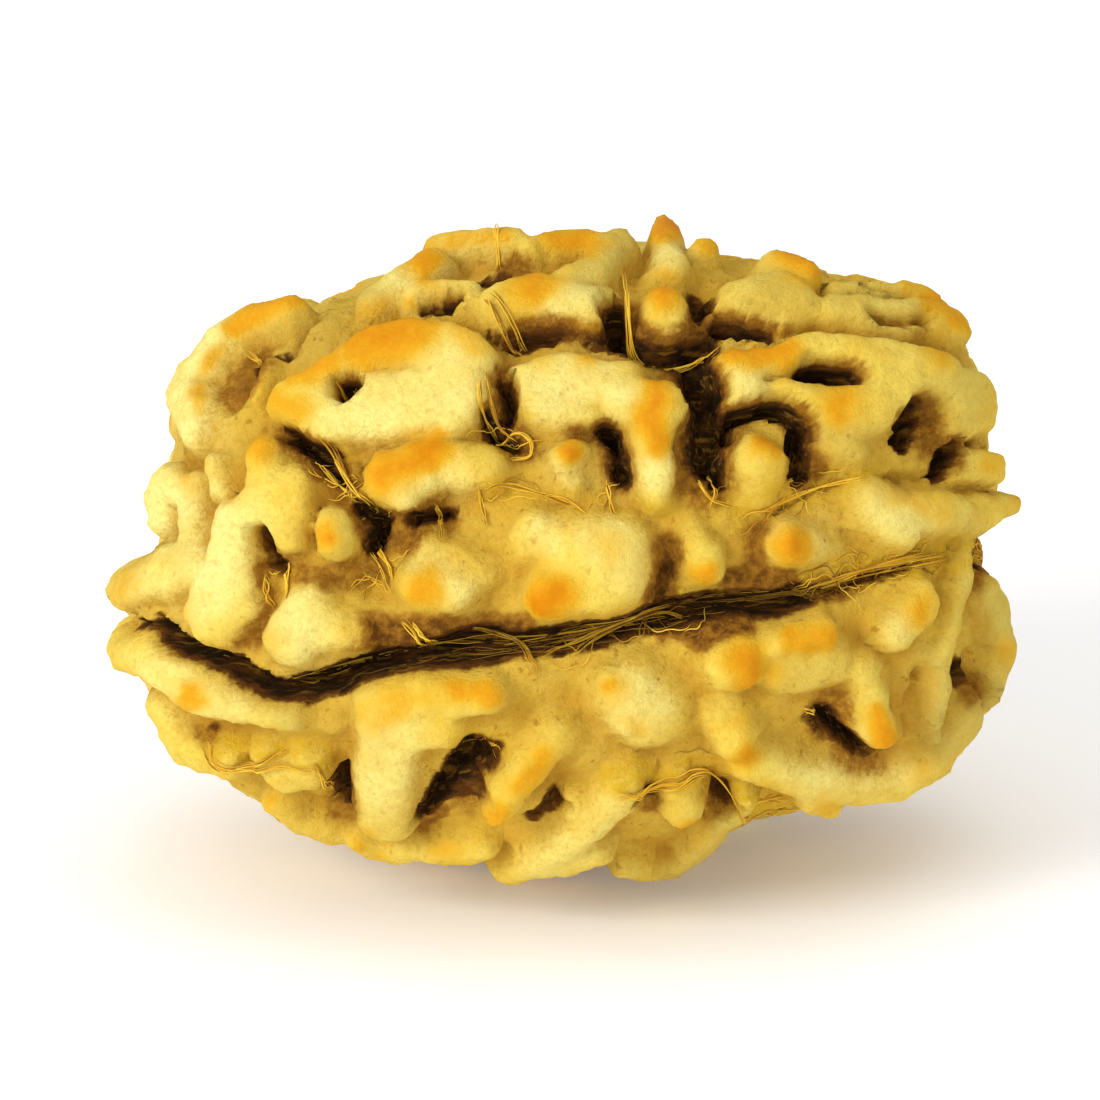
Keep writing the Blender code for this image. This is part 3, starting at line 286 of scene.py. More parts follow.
# worn caps: place seen from the front, radius, strength
CAPS = [
    ([(-8.55, 3.6), (-8.15, 4.7)], 0.32, 0.7),
    ([(-7.7, 5.4), (-6.5, 5.9)], 0.4, 0.75),
    ([(-6.5, 5.3)], 0.35, 0.5),
    ([(-7.1, 3.75), (-6.3, 3.3)], 0.42, 0.6),
    ([(-6.5, 4.1), (-5.5, 4.5)], 0.35, 0.75),
    ([(-4.8, 4.85), (-3.4, 5.45)], 0.62, 0.9),
    ([(-2.5, 5.1), (-1.8, 4.7)], 0.3, 0.5),
    ([(-3.2, 6.8)], 0.6, 0.85),
    ([(-2.7, 7.3), (-1.3, 7.35)], 0.25, 0.7),
    ([(-0.3, 7.4), (0.5, 7.4)], 0.5, 0.8),
    ([(-0.7, 6.35)], 0.6, 0.85),
    ([(2.45, 7.75)], 0.5, 1.0),
    ([(3.4, 7.35)], 0.4, 0.7),
    ([(2.35, 6.1)], 0.46, 0.9),
    ([(5.3, 7.1), (5.95, 6.7)], 0.42, 0.8),
    ([(8.2, 6.3)], 0.35, 0.5),
    ([(8.9, 6.0), (9.5, 5.5)], 0.42, 0.8),
    ([(4.0, 4.75), (5.3, 4.65)], 0.42, 0.9),
    ([(8.9, 4.7)], 0.4, 0.6),
    ([(6.5, 3.4)], 0.5, 0.85),
    ([(-0.7, 4.6)], 0.3, 0.5),
    ([(0.5, 4.8)], 0.4, 0.75),
    ([(2.25, 3.8), (2.0, 3.2), (2.2, 2.55)], 0.42, 0.95),
    ([(0.2, 2.4)], 0.35, 1.0),
    ([(4.8, 2.6)], 0.45, 0.9),
    ([(-4.2, 1.85), (-3.5, 2.15), (-2.9, 2.45)], (0.55, 0.35), 0.95),
    ([(-8.8, 1.5), (-8.5, 2.3)], 0.35, 0.4),
    ([(-7.2, 2.4)], 0.5, 0.75),
    ([(-7.6, 1.4)], 0.4, 0.35),
    ([(-9.0, -1.5)], 0.5, 0.45),
    ([(-5.52, 0.32)], 0.36, 1.0),
    ([(-10.5, -0.9)], 0.6, 0.45),
    ([(-6.9, -2.2)], 0.5, 0.4),
    ([(-3.25, -0.95)], 0.5, 0.85),
    ([(-0.6, -1.4), (-0.15, -1.0)], 0.5, 1.0),
    ([(1.0, 0.1)], 0.5, 0.3),
    ([(3.35, -0.6)], 0.33, 0.95),
    ([(5.5, 0.05)], 0.5, 0.95),
    ([(7.8, 1.3), (9.0, 1.0)], 0.4, 0.45),
    ([(10.9, 1.1)], 0.3, 0.5),
    ([(10.2, 2.0)], 0.35, 0.5),
    ([(10.6, -2.5)], 0.45, 0.5),
    ([(-8.8, -3.5)], 0.35, 0.75),
    ([(-7.0, -5.9)], 0.35, 0.6),
    ([(-4.6, -3.8), (-3.4, -3.5)], 0.45, 0.5),
    ([(-2.5, -3.3), (-1.8, -3.4)], 0.38, 0.8),
    ([(-4.8, -7.0)], 0.35, 0.6),
    ([(-0.45, -4.9), (-0.9, -5.6)], 0.3, 0.7),
    ([(-1.6, -6.4)], 0.34, 0.8),
    ([(-3.0, -7.1), (-2.4, -7.1)], 0.25, 0.5),
    ([(1.2, -3.25)], 0.3, 0.8),
    ([(1.7, -4.2)], 0.3, 0.4),
    ([(4.3, -2.6), (4.4, -3.05)], 0.52, 0.9),
    ([(5.4, -2.15), (6.2, -2.05)], 0.38, 0.8),
    ([(4.4, -4.9)], 0.33, 0.9),
    ([(4.3, -4.1)], 0.35, 0.4),
    ([(3.0, -6.7)], 0.3, 0.6),
    ([(8.5, -1.5)], 0.45, 0.8),
    ([(7.4, -3.9), (7.7, -4.5)], (0.22, 0.35), 0.85),
    ([(8.4, -5.3)], 0.4, 0.4),
    ([(6.3, -6.2)], 0.35, 0.45),
]

# brown where pulp dried into the feet of the tubercles, and painted shade under tubercles and in hollows:
# place seen from the front, radius, strength
STAINS_AND_SHADE = [
    ([(1.6, 5.2), (2.4, 4.95), (3.1, 5.2)], 0.6, 1.0),
    ([(-0.9, 5.3), (0.8, 5.35)], 0.4, 0.8),
    ([(-1.3, 6.75), (-0.9, 6.75)], 0.28, 0.7),
    ([(-7.3, 4.4), (-7.8, 3.7)], 0.4, 0.7),
    ([(3.0, 4.2), (3.4, 3.0), (3.3, 1.8)], 0.8, 0.9),
    ([(5.7, 3.2), (5.8, 1.9)], 0.4, 0.8),
    ([(8.5, 3.3), (8.7, 2.5), (9.2, 2.2)], 0.45, 0.8),
    ([(7.4, 5.3), (8.6, 5.3)], 0.3, 0.4),
    ([(3.7, 5.4), (5.2, 5.28)], 0.32, 1.0),
    ([(9.6, -3.2), (9.8, -3.6)], 0.35, 0.7),
    ([(6.4, -3.9), (7.2, -4.8)], 0.6, 0.7),
    ([(-7.1, -0.6), (-7.2, -1.6), (-7.5, -2.1)], 0.35, 0.7),
    ([(-4.9, -1.95), (-3.4, -1.95), (-0.9, -1.95)], 0.4, 1.0),
    ([(2.3, -1.1), (2.5, 0.0)], 0.35, 0.9),
    ([(4.6, 0.3), (4.6, -0.4)], 0.35, 0.8),
    ([(4.0, -0.75), (5.3, -0.75)], 0.35, 0.9),
    ([(2.5, -1.95), (3.4, -2.05), (4.3, -1.8)], 0.35, 1.0),
    ([(6.2, -1.0), (7.2, -0.75)], 0.3, 0.7),
    ([(-6.6, -0.4), (-5.6, -0.7), (-4.5, -0.5)], 0.35, 0.6),
    ([(-4.7, 0.9), (-4.3, 0.2), (-3.0, 0.8)], 0.5, 0.8),
    ([(-1.5, 3.9), (-1.5, 3.0), (-1.0, 2.4)], 0.45, 0.7),
    ([(0.4, 2.9), (1.1, 2.8), (1.3, 1.7)], 0.4, 0.7),
    ([(-6.4, 2.6), (-5.6, 2.1), (-5.2, 1.4)], 0.4, 0.8),
    ([(-2.0, -4.9), (-2.4, -5.6)], 0.5, 0.8),
    ([(-2.2, -6.1)], 0.35, 0.35),
    ([(-2.9, -6.1), (-3.3, -6.55)], 0.2, 0.8),
    ([(-5.3, -5.5), (-5.2, -6.2)], 0.4, 0.6),
    ([(-8.6, -4.4)], 0.35, 0.5),
    ([(2.0, -5.8)], 0.4, 0.6),
    ([(3.6, -6.1)], 0.4, 0.6),
    ([(9.9, -0.3), (10.0, -0.9)], 0.3, 0.6),
]

# ochre fibrous skin along the grooves: place seen from the front, radius, strength
FIBROUS = [
    ([(5.8, -0.9), (7.0, -0.6), (8.3, -0.3), (9.4, -0.05)], 0.45, 0.9),
    ([(-5.4, 2.3), (-4.9, 1.4), (-4.2, -0.4), (-4.6, -0.9)], 0.35, 0.7),
    ([(-1.8, 1.4), (-0.9, 1.4), (0.3, 1.1), (1.4, 0.9), (2.4, 0.9)], 0.25, 0.6),
    ([(3.3, 1.2), (4.4, 0.9), (5.2, 1.2), (6.3, 1.6), (7.4, 1.8)], 0.35, 0.7),
    ([(-8.2, -4.6), (-7.4, -4.8), (-6.3, -4.7), (-5.4, -5.1)], 0.35, 0.9),
    ([(1.3, -5.4), (2.4, -5.3), (3.4, -5.3), (4.2, -5.9), (5.2, -6.0)], 0.35, 0.9),
    ([(-2.0, 2.2), (-1.2, 2.6), (-0.8, 3.3)], 0.3, 0.7),
    ([(-1.5, -4.6), (-2.4, -4.6)], 0.3, 0.7),
    ([(-6.5, -0.6), (-6.9, -1.1)], 0.3, 0.7),
    ([(0.0, -2.1), (1.5, -1.75), (3.0, -1.5)], 0.2, 0.6),
    ([(6.0, -3.6), (6.8, -4.0)], 0.25, 0.6),
]

# painted highlights, paler skin where the light falls most: place seen from the front, radius, strength
PAINTED_HIGHLIGHTS = [
    ([(-9.6, 1.6), (-9.3, 0.9)], 1.0, 1.0),
    ([(-9.0, 2.9), (-9.1, 3.8), (-8.7, 4.8)], 0.95, 1.0),
    ([(-8.2, 0.6), (-8.4, -0.6)], 0.9, 0.9),
    ([(-8.9, -1.2)], 0.7, 0.8),
    ([(-7.4, 5.2)], 0.4, 0.7),
    ([(-4.6, 3.2), (-2.6, 3.8)], 1.1, 0.8),
    ([(-3.9, 6.3), (-2.0, 7.1)], 0.6, 0.8),
    ([(-2.5, 1.6), (-3.6, 1.2)], 0.5, 0.7),
    ([(-0.2, 5.6), (0.5, 5.9)], 0.5, 0.7),
    ([(0.6, 4.0), (-0.5, 3.6)], 0.7, 0.7),
    ([(1.3, 3.6)], 0.5, 0.8),
    ([(2.2, 1.9)], 0.5, 0.8),
    ([(0.2, 1.8)], 0.6, 0.6),
    ([(-6.4, -1.4), (-6.2, -2.2)], 0.7, 0.7),
    ([(-3.3, -0.3), (-2.4, -0.9)], 0.5, 0.6),
    ([(1.6, -0.3), (1.0, 0.5)], 0.7, 0.6),
    ([(-0.4, 0.4)], 0.5, 0.7),
    ([(5.1, 0.6), (6.2, 0.2)], 0.5, 0.6),
    ([(7.6, 0.9), (8.4, 0.5)], 0.6, 0.6),
    ([(2.5, 7.1)], 0.5, 0.8),
    ([(4.4, 3.9), (4.3, 4.3)], 0.5, 0.6),
    ([(-10.2, -0.9)], 0.6, 0.7),
    ([(-8.0, -3.8), (-9.6, -3.0)], 0.6, 0.6),
    ([(-4.2, -4.6), (-4.2, -5.8)], 0.8, 0.6),
    ([(1.8, -3.6)], 0.8, 0.7),
    ([(5.8, -5.3), (7.8, -5.2)], 0.6, 0.6),
    ([(7.9, -1.9)], 0.4, 0.7),
    ([(-0.5, -7.5), (1.0, -6.4)], 0.6, 0.4),
]

# greyer olive skin, partly its own tint and partly painted shade on the side away from the key light and in
# valleys: place seen from the front, radius, strength
OLIVE_TINT_AND_SHADE = [
    ([(-6.1, 4.9), (-5.2, 5.9)], 0.7, 0.9),
    ([(0.9, 6.8), (1.5, 7.2)], 0.8, 0.8),
    ([(4.6, 6.3), (5.4, 6.4)], 0.8, 0.5),
    ([(6.6, 5.9), (8.4, 5.7)], 0.7, 0.5),
    ([(6.6, 2.6), (7.2, 2.2)], 0.8, 0.5),
    ([(8.6, -3.0), (8.7, -4.6)], 0.8, 1.0),
    ([(10.2, -1.6), (10.6, -2.8), (10.0, -4.0)], 0.9, 0.8),
    ([(9.6, 0.4), (9.7, -1.2)], 0.5, 0.6),
    ([(-6.4, -4.3), (-5.5, -4.3)], 0.5, 0.6),
    ([(4.4, -7.0), (3.4, -7.4)], 0.8, 0.6),
    ([(9.4, 3.2), (10.0, 4.4)], 0.8, 0.4),
    ([(-1.3, 2.0)], 0.4, 0.5),
    ([(5.8, -3.2), (5.4, -4.4)], 0.8, 0.4),
]


def body(directions):
    """Points and outward normals of the superellipsoid along these directions."""
    scale = (np.abs(directions) ** SQUARENESS).sum(-1, keepdims=True) ** (-1 / SQUARENESS)
    points = directions * scale * HALVES
    normals = np.sign(points) * np.abs(points / HALVES) ** (SQUARENESS - 1) / HALVES
    return points, normals / np.linalg.norm(normals, axis=-1, keepdims=True)


def turned(points, degrees):
    """Points turned about the line of sight, counter-clockwise as the front sees them."""
    c, s = math.cos(math.radians(degrees)), math.sin(math.radians(degrees))
    return points @ np.array([[c, s, 0.0], [-s, c, 0.0], [0.0, 0.0, 1.0]])


def swell(points):
    """Height that the broad swellings add, a bell round each, the same on the front and far sides."""
    total = np.zeros(points.shape[:-1])
    for centre, radius, amount in SWELLS:
        at = turned(np.array([*centre, 0.0]), -LEAN_DEG)
        total += amount * np.exp(-((points[..., :2] - at[:2]) ** 2).sum(-1) / radius**2)
    return total


def seen_at(places, heights):
    """Body points whose skin at these heights is seen at these places, and the heights that reach them."""
    flat = turned(np.column_stack([places, np.zeros(len(places))]), -LEAN_DEG)[:, :2]
    guess = flat / HALVES[:2] * 0.9
    for _ in range(60):
        reach = np.linalg.norm(guess, axis=1, keepdims=True)
        guess = guess / np.maximum(reach, 1)
        depth = np.sqrt(np.clip(1 - (guess**2).sum(1, keepdims=True), 0, 1))
        points, normals = body(np.column_stack([guess, depth]))
        raised = (heights + swell(points))[:, None]
        miss = flat - (points + raised * normals)[:, :2]
        guess = guess + 0.5 * miss / HALVES[:2]
    return points, heights + (miss * normals[:, :2]).sum(1)


def spread(value, count):
    first, last = value if isinstance(value, tuple) else (value, value)
    return np.linspace(first, last, count)


def walked(places):
    """A path's places with more set between them, so that no straight run leaves the round body."""
    places = np.array(places, float)
    if len(places) == 1:
        return places
    along = np.append(0, np.cumsum(np.linalg.norm(np.diff(places, axis=0), axis=1)))
    steps = np.linspace(0, along[-1], max(2, math.ceil(along[-1] / PATH_STEP) + 1))
    steps = np.union1d(steps, along)
    return np.column_stack([np.interp(steps, along, places[:, axis]) for axis in (0, 1)])


def placed(rows, cut_level=None):
    """Features laid on the body: a path, then radius, height and flatness at each of its points."""
    laid = []
    for _, places, radius, height, *flatness in rows:
        places = walked(places)
        count = len(places)
        heights = spread(height, count)
        level = heights if cut_level is None else np.full(count, cut_level)
        path, reached = seen_at(places, level)
        if cut_level is None:
            heights = reached
        flat = np.full(count, float(flatness[0]) if flatness else 3.0)
        laid.append((path, np.column_stack([spread(radius, count), heights, flat])))
    return laid


def with_far_side(features, nearest):
    """Features, and images through the middle of the stone of those at least this far in front of it."""
    return features + [(-path, values) for path, values in features if path[:, 2].min() > nearest]


def nearest_on(points, path, values):
    """Distance of each point to a path, and the path's values there."""
    if len(path) == 1:
        return np.linalg.norm(points - path[0], axis=1), np.repeat(values, len(points), 0)
    distance = np.full(len(points), np.inf)
    found = np.zeros((len(points), values.shape[1]))
    for start, end, first, last in zip(path[:-1], path[1:], values[:-1], values[1:]):
        step = end - start
        share = np.clip((points - start) @ step / (step @ step), 0, 1)[:, None]
        gap = np.linalg.norm(points - start - share * step, axis=1)
        closer = gap < distance
        distance = np.where(closer, gap, distance)
        found = np.where(closer[:, None], first + share * (last - first), found)
    return distance, found


def reached_by(points, path, values):
    """Indices of the points that a feature reaches, with their distance in radii and its values there."""
    reach = values[:, 0].max() * 1.6 + 0.7
    inside = ((points > path.min(0) - reach) & (points < path.max(0) + reach)).all(1)
    chosen = np.flatnonzero(inside)
    distance, found = nearest_on(points[chosen], path, values)
    return chosen, distance / found[:, 0], found


def waves(points, length, seed):
    """Sum of fourteen sine waves in random directions, of about this wavelength and unit strength."""
    rng = np.random.default_rng(seed)
    ways = rng.normal(size=(14, 3))
    ways /= np.linalg.norm(ways, axis=1, keepdims=True)
    turns = 2 * np.pi / (length * rng.uniform(0.7, 1.4, 14))
    return np.sin((points @ ways.T) * turns + rng.uniform(0, 2 * np.pi, 14)).sum(-1) * math.sqrt(2 / 14)


def higher(first, second, blend):
    """The larger of two heights, rounded where they cross."""
    return np.maximum(first, second) + np.maximum(blend - np.abs(first - second), 0) ** 2 / (4 * blend)


def even_directions(count):
    """Directions spread evenly over a sphere on a spiral."""
    step = np.arange(count) + 0.5
    along = 1 - 2 * step / count
    angle = np.pi * (1 + math.sqrt(5)) * step
    across = np.sqrt(1 - along**2)
    return np.column_stack([along, across * np.cos(angle), across * np.sin(angle)])


def domed(share, found):
    """Height of a tubercle at these shares of its radius."""
    return found[:, 1] - (found[:, 1] - TUBERCLE_FOOT) * np.minimum(share, 1.7) ** found[:, 2]


def outline(tubercles):
    """Turns round the front view, and how far from the middle the outline lies at each."""
    turns = np.linspace(-np.pi, np.pi, 721)
    flat = np.column_stack([np.cos(turns), np.sin(turns)])
    flat /= (np.abs(flat) ** SQUARENESS).sum(1, keepdims=True) ** (1 / SQUARENESS)
    farthest = np.zeros(len(turns))
    for rise in np.arange(0, 0.6, 0.1):
        rim, normals = body(np.column_stack([flat, np.full(len(flat), rise)]))
        crest = np.full(len(turns), WEB_HEIGHT)
        for path, values in tubercles:
            chosen, share, found = reached_by(rim, path, values)
            crest[chosen] = np.maximum(crest[chosen], domed(share, found))
        farthest = np.maximum(farthest, np.linalg.norm(rim[:, :2] + crest[:, None] * normals[:, :2], axis=1))
    return turns, farthest


def hidden_features(known):
    """Tubercles drawn at random for the side that isn't seen, wherever nothing stands yet and no higher than
    the front's outline hides, and pits between them."""
    rng = np.random.default_rng(SEED)
    centres, normals = body(even_directions(CANDIDATES))
    standing = np.concatenate([path for path, _ in known])
    reach = np.concatenate([values[:, 0] for _, values in known])
    turns, edge = outline(known)
    grown, pits = [], []
    for turn, index in enumerate(rng.permutation(CANDIDATES)):
        centre, normal = centres[index], normals[index]
        size = 1 - SHRINKING * turn / CANDIDATES
        length, radius = rng.uniform(*HIDDEN_LENGTHS) * size**3, rng.uniform(*HIDDEN_RADII) * size
        height, bearing = rng.uniform(*HIDDEN_HEIGHTS), rng.uniform(0, np.pi)
        side = np.cross(normal, (0.3, 0.5, 0.8))
        side /= np.linalg.norm(side)
        way = math.cos(bearing) * side + math.sin(bearing) * np.cross(normal, side)
        path = centre + np.outer([-0.5, 0.0, 0.5], way * length)
        gaps = np.linalg.norm(path[:, None] - standing, axis=2) - SPACING * reach
        if path[:, 2].max() > HIDDEN_FROM or gaps.min() < SPACING * radius:
            continue
        ways = np.arctan2(path[:, 1] / HALF_TALL, path[:, 0] / HALF_LONG)
        room = np.interp(ways, turns, edge) - np.linalg.norm(path[:, :2], axis=1)
        height = min(height, room.min() / np.linalg.norm(normal[:2]) - HIDING)
        grown.append((path, np.array([[radius, height, HIDDEN_FLATNESS]] * 3)))
        standing = np.concatenate([standing, path])
        reach = np.append(reach, [radius] * 3)
    for index in rng.permutation(CANDIDATES):
        centre = centres[index]
        radius, level = rng.uniform(*HIDDEN_PIT_RADII), rng.uniform(*HIDDEN_PIT_LEVELS)
        gap = (np.linalg.norm(centre - standing, axis=1) - SPACING * reach).min()
        apart = min([np.linalg.norm(centre - path[0]) for path, _ in pits], default=np.inf)
        if centre[2] < HIDDEN_FROM and gap > 0.5 * radius and apart > PIT_SPACING and len(pits) < HIDDEN_PITS:
            pits.append((centre[None], np.array([[radius, level, HIDDEN_FLATNESS]])))
    return grown, pits


def strayed(points):
    """Points shifted by slow waves, so that the borders of features aren't straight or round."""
    return points + WANDER * np.column_stack([waves(points, 1.8, seed) for seed in (11, 12, 13)])


@cache
def features():
    """Features laid on the body: tubercles as listed, tubercles drawn at random, grooves, and pits."""
    tubercles = with_far_side(placed(TUBERCLES), TUBERCLES_REPEATED_FROM)
    hidden, hidden_pits = hidden_features(tubercles)
    grooves = with_far_side(placed(GROOVES, GROOVE_LEVEL), GROOVES_REPEATED_FROM)
    pits = with_far_side(placed(PITS, PIT_LEVEL), PITS_REPEATED_FROM)
    return tubercles, hidden, grooves, pits + hidden_pits


def belt_dip(points):
    """How much lower the web lies at these points, by how deep behind the middle they are."""
    return BELT_DIP * np.interp(points[:, 2], BELT, (0, 1, 1, 0))


def relief(points):
    """Height of the skin over the body at each of its points."""
    tubercles, hidden, grooves, pits = features()
    felt = strayed(points)
    height = WEB_HEIGHT + RIPPLE * waves(points, 2.0, 3) - belt_dip(points)
    for path, values in grooves:
        chosen, share, found = reached_by(felt, path, values)
        bed = found[:, 1] + (GROOVE_LIP - found[:, 1]) * np.minimum(share, 2.5) ** 3
        height[chosen] = -higher(-height[chosen], -bed, GROOVE_BLEND)
    for path, values in tubercles + hidden:
        chosen, share, found = reached_by(felt, path, values)
        height[chosen] = higher(height[chosen], domed(share, found), TUBERCLE_BLEND)
    for path, values in pits:
        chosen, share, found = reached_by(felt, path, values)
        hole = found[:, 1] + (GROOVE_LIP - found[:, 1]) * np.minimum(share, 2.5) ** 2
        height[chosen] = -higher(-height[chosen], -hole, PIT_BLEND)
    return height + swell(points)


def ring_grid():
    """Directions on rings from pole to pole, evenly spaced along the body, with one point at each pole."""
    angle = np.linspace(0, np.pi, 2001)
    profile, _ = body(np.column_stack([np.cos(angle), np.sin(angle), np.zeros_like(angle)]))
    along = np.append(0, np.cumsum(np.linalg.norm(np.diff(profile, axis=0), axis=1)))
    angle = np.interp(np.linspace(0, along[-1], RINGS + 2)[1:-1], along, angle)
    around = np.arange(SPOKES) * 2 * np.pi / SPOKES
    angle, around = np.meshgrid(angle, around, indexing="ij")
    rings = np.stack([np.cos(angle), np.sin(angle) * np.cos(around), np.sin(angle) * np.sin(around)], -1)
    return np.concatenate([[[1.0, 0, 0]], rings.reshape(-1, 3), [[-1.0, 0, 0]]])


def ring_faces():
    """Quads between the rings and a fan of triangles at each pole, all facing out."""
    ring, spoke = np.meshgrid(np.arange(RINGS - 1), np.arange(SPOKES), indexing="ij")
    first = 1 + ring * SPOKES + spoke
    second = 1 + ring * SPOKES + (spoke + 1) % SPOKES
    quads = np.stack([first, first + SPOKES, second + SPOKES, second], -1).reshape(-1, 4)
    spoke = np.arange(SPOKES)
    after = (spoke + 1) % SPOKES
    last = 1 + (RINGS - 1) * SPOKES
    near_pole = np.column_stack([np.zeros(SPOKES, int), 1 + spoke, 1 + after])
    far_pole = np.column_stack([np.full(SPOKES, last + SPOKES), last + after, last + spoke])
    return quads.tolist() + near_pole.tolist() + far_pole.tolist()


def upright(points):
    """Points of the front view, as they stand: x right, y away from the front, z up."""
    rise = math.radians(FRONT_RISE_DEG)
    away = points[..., 1] * math.sin(rise) - points[..., 2] * math.cos(rise)
    up = points[..., 1] * math.cos(rise) + points[..., 2] * math.sin(rise)
    return np.stack([points[..., 0], away, up], -1)


def raised(points, normals, heights):
    """The skin over body points, standing as the stone rests, before it is put on its flat spot."""
    return upright(turned(points + heights[..., None] * normals, LEAN_DEG))


def beside(grid):
    """The four neighbours of each grid point: on the rings before and after it and the spokes beside it."""
    return (
        np.concatenate([grid[:1], grid[:-1]]),
        np.concatenate([grid[1:], grid[-1:]]),
        np.roll(grid, 1, 1),
        np.roll(grid, -1, 1),
    )


def settled(directions, times, sweeps):
    """Directions drawn to where the skin is steep: each moves to the mean of its neighbours, weighted by how
    far away they are on the skin, so that long faces on the walls share out their length."""
    poles = directions[[0, -1]]
    for _ in range(times):
        points, normals = body(directions)
        skin = (points + relief(points)[:, None] * normals)[1:-1].reshape(RINGS, SPOKES, 3)
        grid = directions[1:-1].reshape(RINGS, SPOKES, 3)
        weights = [np.linalg.norm(skin - other, axis=-1, keepdims=True) for other in beside(skin)]
        for _ in range(sweeps):
            pull = sum(weight * other for weight, other in zip(weights, beside(grid))) / sum(weights)
            grid = grid + 0.6 * (pull - grid)
            grid /= np.linalg.norm(grid, axis=-1, keepdims=True)
        directions = np.concatenate([poles[:1], grid.reshape(-1, 3), poles[1:]])
    return directions


def washed(values, sweeps):
    """Values on the grid, each made the mean of itself and its neighbours so many times."""
    grid = values[1:-1].reshape(RINGS, SPOKES)
    for _ in range(sweeps):
        grid = (grid + sum(beside(grid))) / 5
    return np.concatenate([[grid[0].mean()], grid.ravel(), [grid[-1].mean()]])


RAGGEDNESS = 0.06  # how far the borders of colour marks stray
CAP_SEED = 31
# painted shade: a groove or pit darkens where its floor is lower than the first, fully so over the second
DARK_BELOW = -0.95
DARK_OVER = 0.6
# its brown border, stain and painted shade, ends at this share of its radius
GROOVE_BORDER = 0.82
PIT_BORDER = 0.78


def soft_step(share, edge):
    """Full below 1 - edge, gone at 1 + edge, smooth between."""
    amount = np.clip((1 + edge - share) / (2 * edge), 0, 1)
    return amount * amount * (3 - 2 * amount)


def below(values, level, span):
    """Full where a value is under level - span, gone over level + span, smooth between."""
    return soft_step((values - level) / span + 1, 1)


def marked(rows, edge, seed):
    """How strongly each point of the stone lies in the marks of a table, by where its skin is seen from the
    front, with ragged borders. Behind the rim a mark ends like a ball, and the far side has the marks of the
    lobes it repeats."""
    ragged = RAGGEDNESS * np.column_stack([waves(stone_body, 0.8, turn) for turn in (seed, seed + 1)])
    total = np.zeros(len(stone_seen))
    for way, nearest in ((1, 0.0), (-1, TUBERCLES_REPEATED_FROM)):
        felt = way * stone_seen
        felt = np.column_stack([felt[:, :2] + ragged, np.minimum(felt[:, 2] - nearest, 0)])
        for places, radius, strength in rows:
            path = np.column_stack([places, np.zeros(len(places))])
            values = np.column_stack([spread(radius, len(places)), np.full(len(places), strength)])
            chosen, share, found = reached_by(felt, path, values)
            total[chosen] = np.maximum(total[chosen], soft_step(share, edge) * found[:, 1])
    return total


def hidden_caps():
    """Worn caps along the crests of the tubercles that aren't seen, some strong and some faint."""
    rng = np.random.default_rng(CAP_SEED)
    total = np.zeros(len(stone_body))
    for path, values in features()[1]:
        shift, length, strength = rng.uniform(-0.4, 0.4), rng.uniform(0.3, 1.0), rng.uniform(0.2, 1.0)
        middle, half = path[1] + shift * (path[2] - path[1]), (path[2] - path[1]) * length
        crest = np.array([middle - half, middle + half])
        sizes = np.array([[values[0, 0] * rng.uniform(0.35, 0.55), strength]] * 2)
        chosen, share, found = reached_by(stone_body, crest, sizes)
        total[chosen] = np.maximum(total[chosen], soft_step(share, 0.7) * found[:, 1])
    return total


def in_holes():
    """How far inside a groove or pit each point of the stone lies, 1 on the deepest floors, and how near its
    border."""
    tattered = 0.06 * waves(stone_body, 0.5, 14) + 0.03 * waves(stone_body, 0.3, 15)
    felt = strayed(stone_body)
    floors, borders = np.zeros(len(stone_body)), np.zeros(len(stone_body))
    sloping = below(depth, -0.45, 0.25)
    _, _, grooves, pits = features()
    everywhere = np.ones(len(stone_body))
    for rows, reach, fading in ((grooves, GROOVE_BORDER, sloping), (pits, PIT_BORDER, everywhere)):
        for path, values in rows:
            chosen, share, found = reached_by(felt, path, values)
            deep = np.clip((DARK_BELOW - found[:, 1]) / DARK_OVER, 0, 1)
            share = share + tattered[chosen]
            floors[chosen] = np.maximum(floors[chosen], soft_step(share / 0.85, 0.25) * deep)
            brown = soft_step(share / reach, 0.2) * deep * fading[chosen]
            borders[chosen] = np.maximum(borders[chosen], brown)
    return floors, borders


def grid_mesh(name, points, faces):
    mesh = bpy.data.meshes.new(name)
    mesh.from_pydata((points * MM).tolist(), [], faces)
    mesh.polygons.foreach_set("use_smooth", np.ones(len(mesh.polygons), bool))
    mesh.update()
    return mesh


def linked(name, data):
    made = bpy.data.objects.new(name, data)
    bpy.context.scene.collection.objects.link(made)
    return made


def put_attribute(mesh, name, values):
    layer = mesh.attributes.new(name, "FLOAT", "POINT")
    layer.data.foreach_set("value", values.astype(np.float32))


# grain of the skin: height and wavelength in millimetres, and seed
GRAIN = ((0.015, 0.7, 41), (0.012, 0.34, 42))
VALLEY_GRAIN = ((0.022, 0.45, 43), (0.016, 0.27, 44))
CAP_SMOOTHNESS = 0.7


def grained(rows):
    """Sum of waves of these heights, wavelengths and seeds over the stone."""
    return sum(height * waves(stone_body, length, seed) for height, length, seed in rows)


stone_directions = settled(ring_grid(), 3, 12)
stone_body, stone_normals = body(stone_directions)
coarse = np.column_stack([waves(stone_body, 0.6, seed) for seed in (20, 21, 22)])
fine = np.column_stack([waves(stone_body, 0.3, seed) for seed in (30, 31, 32)])
stone_relief = relief(stone_body + 0.02 * coarse + 0.014 * fine)
depth = stone_relief - swell(stone_body) + belt_dip(stone_body)
stone_seen = turned(stone_body + stone_relief[:, None] * stone_normals, LEAN_DEG)
on_crowns = below(-depth, 0.3, 0.2)
cap = np.maximum(marked(CAPS, 1.0, 50), hidden_caps()) * on_crowns
fibrous = marked(FIBROUS, 0.5, 70)
hole, border = in_holes()
grain = grained(GRAIN)
valley_grain = grained(VALLEY_GRAIN)
in_valleys = below(depth, -0.35, 0.25)
stone_heights = stone_relief + grain * (1 - CAP_SMOOTHNESS * cap) + valley_grain * in_valleys
standing = raised(stone_body, stone_normals, stone_heights)
low, high = standing.min(0), standing.max(0)
